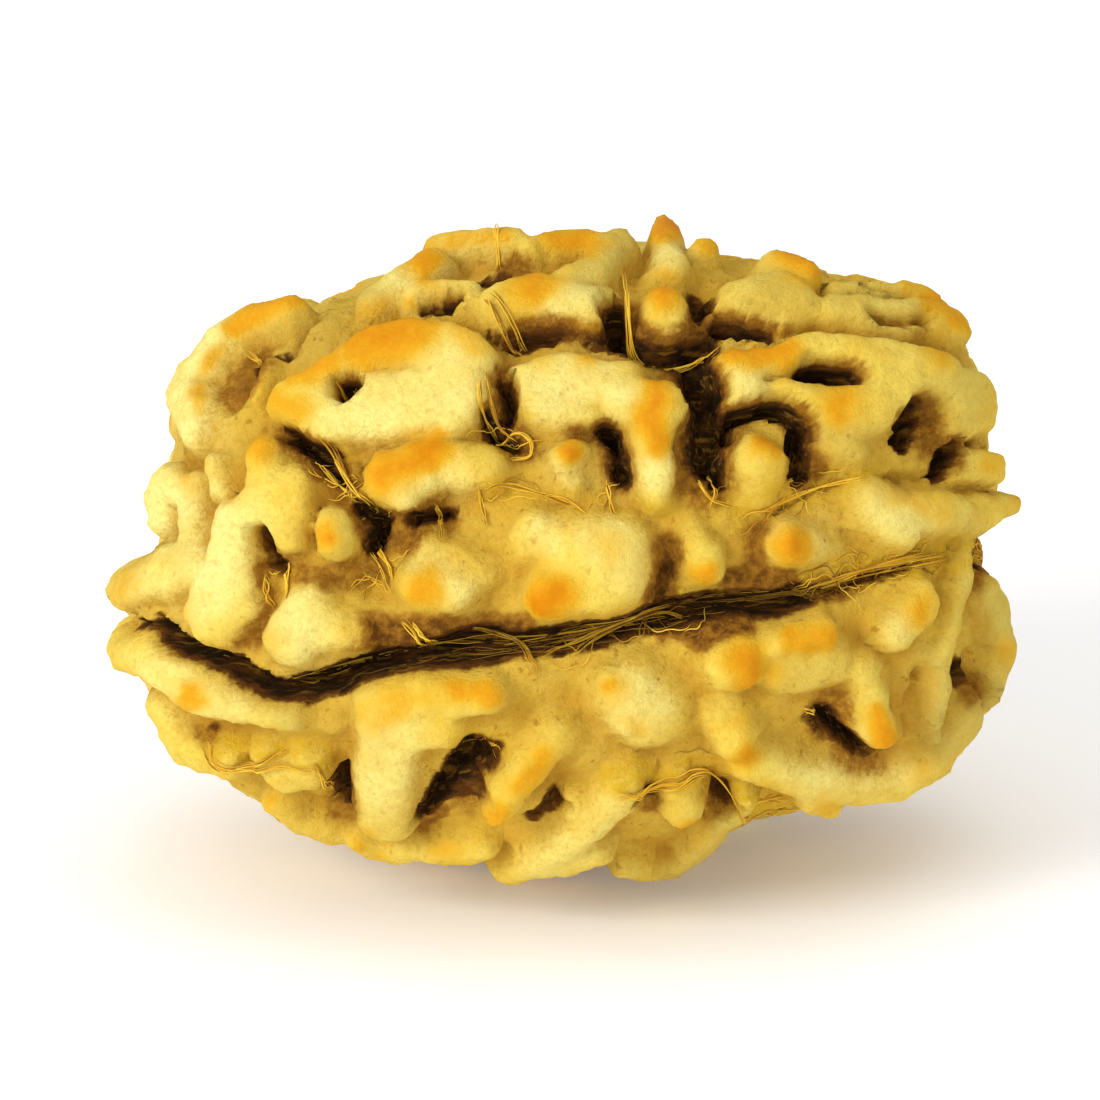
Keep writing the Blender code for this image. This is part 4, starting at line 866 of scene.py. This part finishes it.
rest_shift = -np.array([(low[0] + high[0]) / 2, (low[1] + high[1]) / 2, low[2] + SEAT_CUT])
stone_points = standing + rest_shift
stone_points[:, 2] = np.maximum(stone_points[:, 2], 0)
# how far the skin lies below the mean of its surroundings, for painted shade at the feet of the tubercles and
# in creases
foot = washed(depth, 40) - depth
stone = linked("seed_stone", grid_mesh("seed_stone", stone_points, ring_faces()))
skin_marks_and_painted_light = {
    "cap": cap,
    "depth": depth,
    "foot": foot,
    "stain_and_shade": marked(STAINS_AND_SHADE, 0.6, 60),
    "fibrous": fibrous,
    "hole": hole,
    "border": border,
    "pale": marked(PAINTED_HIGHLIGHTS, 0.8, 80),
    "olive": marked(OLIVE_TINT_AND_SHADE, 0.8, 90),
}
for name, values in skin_marks_and_painted_light.items():
    put_attribute(stone.data, name, values)


def dressed(name):
    """A new material with its node tree, its shader and the place on the object."""
    material = bpy.data.materials.new(name)
    material.use_nodes = True
    tree = material.node_tree
    place = tree.nodes.new("ShaderNodeTexCoord").outputs["Object"]
    return material, tree, tree.nodes["Principled BSDF"], place


def noise(tree, place, scale, detail, roughness=0.55):
    node = tree.nodes.new("ShaderNodeTexNoise")
    node.inputs["Scale"].default_value = scale
    node.inputs["Detail"].default_value = detail
    node.inputs["Roughness"].default_value = roughness
    tree.links.new(place, node.inputs["Vector"])
    return node.outputs["Fac"]


def ranged(tree, value, low, high, first=0.0, last=1.0):
    """A value taken from low..high to first..last, and held there outside."""
    node = tree.nodes.new("ShaderNodeMapRange")
    node.interpolation_type = "SMOOTHSTEP"
    for index, number in enumerate((low, high, first, last), 1):
        node.inputs[index].default_value = number
    tree.links.new(value, node.inputs[0])
    return node.outputs[0]


def math_of(tree, operation, first, second):
    node = tree.nodes.new("ShaderNodeMath")
    node.operation = operation
    for socket, value in zip(node.inputs, (first, second)):
        if isinstance(value, (int, float)):
            socket.default_value = value
        else:
            tree.links.new(value, socket)
    return node.outputs[0]


def blended(tree, share, first, second):
    """A colour between two, each a socket or a plain colour."""
    node = tree.nodes.new("ShaderNodeMix")
    node.data_type = "RGBA"
    tree.links.new(share, node.inputs["Factor"])
    for socket, value in ((node.inputs[6], first), (node.inputs[7], second)):
        if isinstance(value, tuple):
            socket.default_value = (*value, 1)
        else:
            tree.links.new(value, socket)
    return node.outputs[2]


def attribute(tree, name):
    node = tree.nodes.new("ShaderNodeAttribute")
    node.attribute_name = name
    return node.outputs["Fac"]


HIGHLIGHT_CREAM = (0.93, 0.82, 0.27)
CREAM = (0.88, 0.655, 0.105)
GOLD = (0.78, 0.475, 0.035)
OLIVE = (0.50, 0.39, 0.10)
TAN = (0.62, 0.365, 0.035)
CAP_AMBER = (0.80, 0.44, 0.02)
CAP_ORANGE = (0.58, 0.20, 0.001)
FOOT_SHADE_GOLD = (0.56, 0.29, 0.025)
FOOT_BROWN = (0.34, 0.15, 0.014)
RED_BROWN = (0.13, 0.046, 0.007)
NEAR_BLACK = (0.026, 0.013, 0.004)
OCHRE = (0.68, 0.42, 0.02)
PIT_GOLD = (0.27, 0.13, 0.015)

# how fine the patterns of the finish are, in features a metre
CLOUDS = 260
PATCHES = 800
SPECKLE = 6500
SPECKS = 3600
STREAKS = 4200
LAYERS = 5200
LINT = 2800
FUZZ = 9000
FUZZ_HEIGHT = 0.00009


def stretched(tree, place, ways):
    """The same place with each axis drawn out by a factor."""
    node = tree.nodes.new("ShaderNodeMapping")
    node.inputs["Scale"].default_value = ways
    tree.links.new(place, node.inputs["Vector"])
    return node.outputs[0]


def times(tree, first, second):
    return math_of(tree, "MULTIPLY", first, second)


def raw_stone():
    """Dusty cream skin speckled with tan, with painted highlights on some crowns, olive in some valleys that
    is partly painted shade, painted shade in tan and brown in the valleys and at the tubercles' feet, brown
    stain and painted shade in the hollows, and painted shade near black in the pits, with smoother orange
    caps and ochre skin along the grooves."""
    material, tree, shader, place = dressed("raw_stone")
    broad = ranged(tree, noise(tree, place, CLOUDS, 2), 0.38, 0.66)
    patches = ranged(tree, noise(tree, place, PATCHES, 3), 0.36, 0.64)
    speckle = ranged(tree, noise(tree, place, SPECKLE, 3, 0.7), 0.42, 0.68)
    specks = ranged(tree, noise(tree, place, SPECKS, 2, 0.6), 0.62, 0.73)
    streaks = ranged(tree, noise(tree, stretched(tree, place, (0.3, 1.0, 1.0)), STREAKS, 3, 0.6), 0.35, 0.68)
    depth_here = attribute(tree, "depth")
    foot_shade_here = attribute(tree, "foot")
    base = blended(tree, times(tree, patches, 0.6), CREAM, GOLD)
    base = blended(tree, times(tree, broad, 0.2), base, OLIVE)
    # painted highlight: paler cream over the marked skin, uneven in patches
    highlighted = times(tree, attribute(tree, "pale"), ranged(tree, patches, 0, 1, 1.0, 0.7))
    base = blended(tree, highlighted, base, HIGHLIGHT_CREAM)
    # greyer olive: partly the skin's own tint, partly painted shade
    base = blended(tree, times(tree, attribute(tree, "olive"), 0.65), base, OLIVE)
    # painted shade: tan over the lower skin, fuller the deeper it lies
    sunken = ranged(tree, depth_here, 0.05, -0.5)
    base = blended(tree, times(tree, sunken, 0.65), base, TAN)
    grains = times(tree, speckle, ranged(tree, depth_here, 0.1, -0.45, 0.3, 0.8))
    base = blended(tree, grains, base, TAN)
    dots = times(tree, specks, ranged(tree, depth_here, 0.1, -0.45, 0.2, 0.6))
    base = blended(tree, dots, base, FOOT_BROWN)
    ochre = times(tree, attribute(tree, "fibrous"), ranged(tree, streaks, 0, 1, 0.3, 1.0))
    base = blended(tree, ochre, base, OCHRE)
    # painted shade: gold, then speckled brown, where the skin lies below its surroundings
    base = blended(tree, times(tree, ranged(tree, foot_shade_here, 0.05, 0.35), 0.7), base, FOOT_SHADE_GOLD)
    speckled = ranged(tree, speckle, -0.4, 1.0, 0.3, 1.0)
    feet = times(tree, ranged(tree, foot_shade_here, 0.3, 0.7), speckled)
    base = blended(tree, feet, base, FOOT_BROWN)
    ragged = ranged(tree, noise(tree, place, STREAKS, 3, 0.65), 0.3, 0.7, 0.45, 1.0)
    # brown stain and painted shade, on low skin only, with ragged edges
    stained_and_shaded = times(tree, attribute(tree, "stain_and_shade"), ranged(tree, depth_here, 0.1, -0.4))
    stained_and_shaded = times(tree, stained_and_shaded, ragged)
    base = blended(tree, ranged(tree, stained_and_shaded, 0.0, 0.5), base, FOOT_BROWN)
    base = blended(tree, ranged(tree, stained_and_shaded, 0.4, 1.0), base, RED_BROWN)
    cap_here = math_of(tree, "ADD", attribute(tree, "cap"), times(tree, patches, 0.12))
    cap_here = math_of(tree, "SUBTRACT", cap_here, times(tree, speckle, 0.1))
    base = blended(tree, ranged(tree, cap_here, 0.05, 0.75), base, CAP_AMBER)
    worn = ranged(tree, cap_here, 0.4, 1.15)
    base = blended(tree, worn, base, CAP_ORANGE)
    # brown borders round deep grooves and pits: stain and painted shade
    rim_here = times(tree, attribute(tree, "border"), ranged(tree, ragged, 0.45, 1.0, 0.75, 1.0))
    base = blended(tree, ranged(tree, rim_here, 0.1, 0.85), base, FOOT_BROWN)
    # painted shade: the insides of deep grooves and pits, and all deep skin, go red-brown, then near black,
    # broken by streaks
    hole_here = times(tree, attribute(tree, "hole"), ranged(tree, depth_here, -0.2, -0.75))
    sunk = math_of(tree, "MAXIMUM", hole_here, ranged(tree, depth_here, -1.15, -1.6))
    base = blended(tree, ranged(tree, times(tree, sunk, ragged), 0.05, 0.4), base, RED_BROWN)
    dark = math_of(tree, "SUBTRACT", sunk, times(tree, streaks, 0.45))
    base = blended(tree, ranged(tree, dark, 0.35, 0.95), base, NEAR_BLACK)
    layers = ranged(tree, noise(tree, stretched(tree, place, (0.12, 1.0, 1.0)), LAYERS, 2, 0.5), 0.54, 0.7)
    base = blended(tree, times(tree, hole_here, times(tree, layers, 0.8)), base, PIT_GOLD)
    tree.links.new(base, shader.inputs["Base Color"])
    tree.links.new(ranged(tree, worn, 0.0, 1.0, 0.92, 0.6), shader.inputs["Roughness"])
    shader.inputs["Specular IOR Level"].default_value = 0.06
    lint = times(tree, noise(tree, place, LINT, 3), 1.2)
    fuzz = math_of(tree, "ADD", noise(tree, place, FUZZ, 4, 0.75), lint)
    bump = tree.nodes.new("ShaderNodeBump")
    bump.inputs["Distance"].default_value = FUZZ_HEIGHT
    tree.links.new(ranged(tree, worn, 0.0, 1.0, 0.95, 0.2), bump.inputs["Strength"])
    tree.links.new(fuzz, bump.inputs["Height"])
    tree.links.new(bump.outputs["Normal"], shader.inputs["Normal"])
    return material


stone.data.materials.append(raw_stone())
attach(stone, "root")
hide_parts("bead")


# Threads of dried pulp cling in the grooves and pits: dry yellow fibres, some lying along the groove, some
# bridging a pit or curling up at a rim. Each is a thin tube that tapers at both ends.
FIBRE_STEPS = 26
FIBRE_SIDES = 5
STRANDS = 6
SEEDED_THREADS = 560
CLEFT_THREADS = 150
THREAD_SEED = 23
TONE_SEED = 29
# how low the skin is under every thread of its kind
SEEDED_BELOW = -0.3
CLEFT_BELOW = -0.75
SAGGING = 12  # how many times the skin's height is evened out under a thread
# the finest threads, which lie in the grooves and the main cleft, are browner: painted shade
FINE_THREAD = 0.0125  # threads thinner than this are darker
THREAD_GOLD = (0.88, 0.57, 0.045)
THREAD_AMBER = (0.74, 0.41, 0.02)
THREAD_BROWN = (0.32, 0.15, 0.012)

# threads given one by one: points seen from the front, height over the skin, radius of the bundle
THREADS = [
    ([(1.45, 6.2), (1.5, 5.6), (1.58, 5.0), (1.8, 4.7), (2.3, 4.52), (2.9, 4.47), (3.6, 4.5)], 0.6, 0.06),
    ([(1.52, 5.9), (1.55, 5.3), (1.66, 4.85), (2.0, 4.6), (2.6, 4.5), (3.3, 4.5)], 0.5, 0.05),
    ([(-1.75, 5.35), (-1.45, 5.1), (-1.0, 4.7)], 0.25, 0.06),
    ([(-1.6, 5.5), (-1.2, 5.15), (-0.8, 4.85)], 0.2, 0.04),
    ([(-5.6, 2.5), (-5.3, 1.95), (-4.9, 1.4), (-4.6, 1.05)], 0.25, 0.06),
    ([(-5.4, 2.4), (-5.15, 1.7), (-5.0, 1.2)], 0.2, 0.05),
    ([(-5.75, 2.0), (-5.4, 1.6), (-5.0, 1.3)], 0.15, 0.05),
    ([(-2.98, 1.05), (-2.9, 0.7), (-2.85, 0.25)], 0.3, 0.06),
    ([(-4.45, 0.1), (-4.2, -0.3), (-4.0, -0.7)], 0.2, 0.05),
    ([(-4.6, -0.1), (-4.3, -0.5), (-4.15, -0.9)], 0.15, 0.045),
    ([(-6.4, -0.35), (-6.45, -0.7), (-6.4, -1.1)], 0.2, 0.06),
    ([(-6.95, -0.6), (-6.9, -1.0), (-6.75, -1.35)], 0.2, 0.05),
    ([(-1.95, 1.4), (-1.9, 1.0), (-1.8, 0.55)], 0.15, 0.05),
    ([(-1.8, 1.35), (-1.4, 1.5), (-0.9, 1.42), (-0.3, 1.25), (0.3, 1.0)], 0.15, 0.055),
    ([(-0.6, 1.35), (0.1, 1.15), (0.5, 0.85)], 0.15, 0.045),
    ([(-1.55, 2.45), (-1.1, 2.75), (-0.75, 2.55), (-0.8, 2.2), (-1.25, 2.1)], 0.2, 0.055),
    ([(1.05, 1.5), (1.1, 1.2), (1.2, 0.85)], 0.15, 0.06),
    ([(-2.1, -1.9), (-1.5, -2.15), (-1.0, -2.35), (-0.7, -2.6)], 0.35, 0.05),
    ([(-0.4, -2.5), (0.3, -2.35), (1.0, -2.0), (1.8, -1.6), (2.6, -1.4)], 0.4, 0.055),
    ([(0.2, -2.5), (0.9, -2.15), (1.6, -1.85), (2.4, -1.6), (2.9, -1.7)], 0.4, 0.045),
    ([(-0.9, -2.5), (-0.65, -2.7), (-0.7, -2.95)], 0.2, 0.055),
    ([(-3.5, -1.75), (-3.3, -2.0), (-3.05, -2.25)], 0.25, 0.06),
    ([(-3.75, -1.7), (-3.5, -1.95), (-3.3, -2.3)], 0.25, 0.045),
    ([(-8.2, -4.4), (-7.7, -4.8), (-7.0, -4.75), (-6.4, -4.6)], 0.15, 0.045),
    ([(-8.0, -4.6), (-7.3, -4.95), (-6.5, -4.8), (-5.7, -4.9)], 0.15, 0.045),
    ([(-5.7, -4.8), (-5.5, -5.2), (-5.5, -5.7)], 0.2, 0.05),
    ([(1.2, -5.3), (2.0, -5.45), (2.9, -5.25), (3.4, -5.35)], 0.2, 0.045),
    ([(1.3, -5.5), (2.2, -5.3), (3.2, -5.15), (3.7, -5.5), (4.2, -5.95)], 0.2, 0.05),
    ([(4.1, -5.9), (4.7, -6.05), (5.3, -5.95)], 0.15, 0.045),
    ([(-1.5, 6.95), (-1.55, 6.62)], 0.2, 0.06),
    ([(6.3, -0.95), (7.2, -0.7), (8.2, -0.45), (9.1, -0.25)], 0.2, 0.05),
    ([(5.9, -0.95), (6.9, -0.6), (8.0, -0.3), (9.0, -0.1)], 0.2, 0.045),
    ([(6.6, -0.75), (7.6, -0.35), (8.6, -0.12)], 0.15, 0.045),
    ([(3.2, 1.6), (3.5, 1.2), (4.0, 1.0)], 0.2, 0.05),
    ([(3.5, 1.8), (3.6, 1.3), (3.4, 0.95)], 0.25, 0.05),
    ([(4.6, 0.85), (5.4, 1.2), (6.2, 1.5), (7.0, 1.65)], 0.12, 0.045),
    ([(-7.4, 4.6), (-7.15, 4.4), (-7.0, 4.15)], 0.2, 0.045),
    ([(-1.6, -4.55), (-2.1, -4.65), (-2.5, -4.9)], 0.2, 0.05),
    ([(5.7, -3.8), (6.05, -3.9), (6.4, -4.15)], 0.15, 0.045),
    ([(5.8, -3.95), (6.2, -4.0), (6.55, -4.3)], 0.15, 0.045),
    ([(-5.25, 3.75), (-5.1, 3.5), (-4.9, 3.7), (-5.0, 3.9)], 0.2, 0.06),
    ([(-1.75, 3.9), (-1.7, 3.4), (-1.5, 2.9), (-1.1, 2.55)], 0.25, 0.05),
    ([(-1.9, 3.7), (-1.85, 3.1), (-1.6, 2.7)], 0.2, 0.05),
]

# the run of the main cleft seen from the front
CLEFT = [
    *((-9.6, -1.9), (-8.5, -2.65), (-7.2, -3.1), (-6.0, -3.25), (-4.6, -2.85), (-3.0, -2.45), (-1.5, -2.35)),
    *((0.0, -2.15), (1.5, -1.8), (3.0, -1.45), (5.6, -1.1), (7.0, -0.75), (9.1, -0.2)),
]


def smooth_curve(knots, steps):
    """Points at even shares of a curve through the knots: cubic pieces whose slope at a knot is half the step
    between its neighbours."""
    knots = np.array(knots, float)
    ends = np.concatenate([[2 * knots[0] - knots[1]], knots, [2 * knots[-1] - knots[-2]]])
    at = np.linspace(0, len(knots) - 1 - 1e-9, steps)
    first = at.astype(int)
    t = (at - first)[:, None]
    a, b, c, d = ends[first], ends[first + 1], ends[first + 2], ends[first + 3]
    return 0.5 * (2 * b + (c - a) * t + (2 * a - 5 * b + 4 * c - d) * t**2 + (3 * b - a - 3 * c + d) * t**3)


def laid_threads(rows, rng):
    """Body points, heights and radii of the listed threads, each split into a few strands that weave about
    its line."""
    curves, lifts, radii = [], [], []
    share = np.linspace(0, 1, FIBRE_STEPS)[:, None]
    for places, lift, radius in rows:
        line = smooth_curve(places, FIBRE_STEPS)
        for _ in range(STRANDS):
            turns, start = rng.uniform(2, 7, 2), rng.uniform(0, 2 * np.pi, 2)
            curves.append(line + rng.uniform(0.015, 0.06) * np.sin(turns * share + start))
            lifts.append(np.full(FIBRE_STEPS, lift * rng.uniform(0.1, 0.7)))
            radii.append(radius * rng.uniform(0.2, 0.42))
    path, _ = seen_at(np.concatenate(curves), np.full(len(curves) * FIBRE_STEPS, -0.6))
    return path.reshape(-1, FIBRE_STEPS, 3), np.array(lifts), np.array(radii)


def cleft_threads(count, rng):
    """Threads laid along the main cleft at random shares of its length, those that stay inside it."""
    line = smooth_curve(CLEFT, 400)
    start, length = rng.uniform(0, 0.9, count)[:, None], rng.uniform(0.04, 0.16, count)[:, None]
    share = start + length * np.linspace(0, 1, FIBRE_STEPS)
    x, y = (np.interp(share, np.linspace(0, 1, len(line)), line[:, axis]) for axis in (0, 1))
    sway = 0.05 * np.sin(share * rng.uniform(20, 70, count)[:, None] + rng.uniform(0, 6, count)[:, None])
    y = y + rng.normal(0, 0.22, count)[:, None] + sway
    path, _ = seen_at(np.column_stack([x.ravel(), y.ravel()]), np.full(x.size, -1.0))
    sunk = (relief(path) < CLEFT_BELOW).reshape(count, FIBRE_STEPS).all(1)
    path = path.reshape(count, FIBRE_STEPS, 3)[sunk]
    lift = rng.uniform(0.0, 0.08, len(path))[:, None] * np.ones(FIBRE_STEPS)
    return path, lift, rng.uniform(0.006, 0.013, len(path))


def softened(values, sweeps):
    """Values along each thread, each made the mean of itself and its neighbours so many times."""
    for _ in range(sweeps):
        padded = np.concatenate([values[:, :1], values, values[:, -1:]], 1)
        values = (padded[:, :-2] + padded[:, 1:-1] + padded[:, 2:]) / 3
    return values


def seeded_threads(count, rng):
    """Short threads drawn at random from the sunken, fibrous skin along the grooves, running roughly from
    pole to pole, those that stay on low skin."""
    sunk = np.flatnonzero((depth < -0.6) & (depth > -1.6) & (fibrous > 0.3))
    start = stone_body[rng.choice(sunk, count)]
    length = rng.uniform(0.4, 1.4, count)
    bearing = rng.normal(0, 0.55, count)
    _, normal = body(start / HALVES)
    along = np.array([1.0, 0, 0]) - normal[:, :1] * normal
    along /= np.linalg.norm(along, axis=1, keepdims=True)
    across = np.cross(normal, along)
    way = np.cos(bearing)[:, None] * along + np.sin(bearing)[:, None] * across
    side = np.cross(normal, way)
    share = np.linspace(-0.5, 0.5, FIBRE_STEPS)
    bow = rng.normal(0, 0.25, count)[:, None] * (1 - 4 * share**2)
    sway = 0.03 * np.sin(share * rng.uniform(8, 20, count)[:, None] + rng.uniform(0, 6, count)[:, None])
    forward = (way * length[:, None])[:, None] * share[:, None]
    path = start[:, None] + forward + side[:, None] * ((bow + sway) * length[:, None])[..., None]
    lift = rng.uniform(0.01, 0.07, count)[:, None] * (1 - (2 * share) ** 4)
    on_body, _ = body(path.reshape(-1, 3) / HALVES)
    low = (relief(on_body) < SEEDED_BELOW).reshape(count, FIBRE_STEPS).all(1)
    return path[low], lift[low], rng.uniform(0.009, 0.018, low.sum())


def tubes(path, radii, sides):
    """Points and faces of tubes along paths: a ring at each step, square to the path, thinned towards both
    ends, with one face closing each end."""
    count, steps, _ = path.shape
    along = np.gradient(path, axis=1)
    along /= np.linalg.norm(along, axis=2, keepdims=True)
    side = np.cross(along, np.array([0.31, 0.57, 0.76]))
    side /= np.linalg.norm(side, axis=2, keepdims=True)
    other = np.cross(along, side)
    share = np.linspace(-1, 1, steps)
    thickness = radii[:, None] * (0.25 + 0.75 * (1 - share**4))
    angle = np.arange(sides) * 2 * np.pi / sides
    ring = side[:, :, None] * np.cos(angle)[:, None] + other[:, :, None] * np.sin(angle)[:, None]
    points = path[:, :, None] + ring * thickness[..., None, None]
    base = np.arange(count)[:, None, None] * steps * sides
    step, turn = np.arange(steps - 1)[:, None] * sides, np.arange(sides)
    after = (turn + 1) % sides
    first = base + step
    quads = np.stack([first + turn, first + after, first + sides + after, first + sides + turn], -1)
    caps = np.stack([base[:, 0] + turn[::-1], base[:, 0] + (steps - 1) * sides + turn], 1)
    return points.reshape(-1, 3), quads.reshape(-1, 4).tolist() + caps.reshape(-1, sides).tolist()


def fibre_points():
    """Threads as they stand, in millimetres, with their radii."""
    rng = np.random.default_rng(THREAD_SEED)
    laid, laid_lift, laid_radius = laid_threads(THREADS, rng)
    drawn, drawn_lift, drawn_radius = seeded_threads(SEEDED_THREADS, rng)
    along, along_lift, along_radius = cleft_threads(CLEFT_THREADS, rng)
    path = np.concatenate([laid, drawn, along])
    lift = np.concatenate([laid_lift, drawn_lift, along_lift])
    flat = path.reshape(-1, 3)
    flat, normals = body(flat / HALVES)
    skin = relief(flat).reshape(lift.shape)
    heights = np.maximum(softened(skin, SAGGING), skin) + lift
    standing = raised(flat, normals, heights.ravel()) + rest_shift
    return standing.reshape(path.shape), np.concatenate([laid_radius, drawn_radius, along_radius])


fibre_paths, fibre_radii = fibre_points()
fibres = linked("pulp_fibres", grid_mesh("pulp_fibres", *tubes(fibre_paths, fibre_radii, FIBRE_SIDES)))
fibre_tones_and_shade = np.random.default_rng(TONE_SEED).uniform(0, 1, len(fibre_radii))
# browner tone for the finest threads: painted shade
fibre_tones_and_shade += 0.4 * (fibre_radii < FINE_THREAD)
put_attribute(fibres.data, "tone_and_shade", np.repeat(fibre_tones_and_shade, FIBRE_STEPS * FIBRE_SIDES))


def dry_pulp():
    """Dry yellow plant fibre, a little glossy, uneven in colour, and browner on the finest threads as painted
    shade.
    """
    material, tree, shader, place = dressed("dry_pulp")
    base = blended(tree, ranged(tree, noise(tree, place, 900, 2), 0.35, 0.65), THREAD_GOLD, THREAD_AMBER)
    base = blended(tree, ranged(tree, attribute(tree, "tone_and_shade"), 0.45, 1.0), base, THREAD_BROWN)
    tree.links.new(base, shader.inputs["Base Color"])
    shader.inputs["Roughness"].default_value = 0.6
    shader.inputs["Specular IOR Level"].default_value = 0.2
    return material


fibres.data.materials.append(dry_pulp())
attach(fibres, "root")


# A plain pale floor and a white room, with three soft round lights: the strongest from the left, a weak one
# from above and a wide one from low in front, which fills the undersides.
FLOOR_HALF = 1.5
WHITE = (1, 1, 1, 1)
FLOOR_GLOW = 0.12
ROOM_STRENGTH = 0.7
# name, place, width in metres, power
LIGHTS = [
    ("key light", (-0.28, -0.24, 0.19), 0.2, 1.0),
    ("top light", (0.05, 0.02, 0.4), 0.3, 0.2),
    ("front light", (0.05, -0.42, 0.0), 0.3, 0.5),
]


def floor():
    corners = [(FLOOR_HALF * x, FLOOR_HALF * y, 0) for x, y in ((-1, -1), (1, -1), (1, 1), (-1, 1))]
    mesh = bpy.data.meshes.new("floor")
    mesh.from_pydata(corners, [], [(0, 1, 2, 3)])
    plane = linked("floor", mesh)
    material = bpy.data.materials.new("pale_floor")
    material.use_nodes = True
    shader = material.node_tree.nodes["Principled BSDF"]
    shader.inputs["Base Color"].default_value = WHITE
    shader.inputs["Roughness"].default_value = 0.9
    shader.inputs["Emission Color"].default_value = WHITE
    shader.inputs["Emission Strength"].default_value = FLOOR_GLOW
    mesh.materials.append(material)


def softbox(name, place, aim, size, power):
    light = bpy.data.lights.new(name, "AREA")
    light.shape = "DISK"
    light.size = size
    light.energy = power
    lamp = linked(name, light)
    lamp.location = place
    lamp.rotation_euler = (Vector(aim) - Vector(place)).to_track_quat("-Z", "Y").to_euler()


floor()
middle = Vector(rest_shift * MM)
for name, place, size, power in LIGHTS:
    softbox(name, place, middle, size, power)
room = bpy.data.worlds.new("white room")
room.use_nodes = True
room.node_tree.nodes["Background"].inputs["Color"].default_value = WHITE
room.node_tree.nodes["Background"].inputs["Strength"].default_value = ROOM_STRENGTH
bpy.context.scene.world = room
bpy.context.scene.view_settings.view_transform = "Standard"

# The camera looks down at the stone as in the photograph, from far off, so that there is little perspective.
# FRAME_WIDTH is what the frame spans at the stone, and the aim is a little beside the stone's middle.
CAMERA_DISTANCE = 0.5
FRAME_WIDTH = 0.026335
AIM_RIGHT = -0.0003
AIM_UP = -0.00002
SENSOR_WIDTH = 36
camera = linked("camera", bpy.data.cameras.new("camera"))
camera.data.sensor_width = SENSOR_WIDTH
camera.data.lens = SENSOR_WIDTH * CAMERA_DISTANCE / FRAME_WIDTH
camera.data.clip_start = 0.01
rise = math.radians(FRONT_RISE_DEG)
aim = middle + Vector((AIM_RIGHT, AIM_UP * math.sin(rise), AIM_UP * math.cos(rise)))
camera.location = aim + CAMERA_DISTANCE * Vector((0, -math.cos(rise), math.sin(rise)))
camera.rotation_euler = (math.pi / 2 - rise, 0, 0)
bpy.context.scene.camera = camera

bpy.context.view_layer.update()
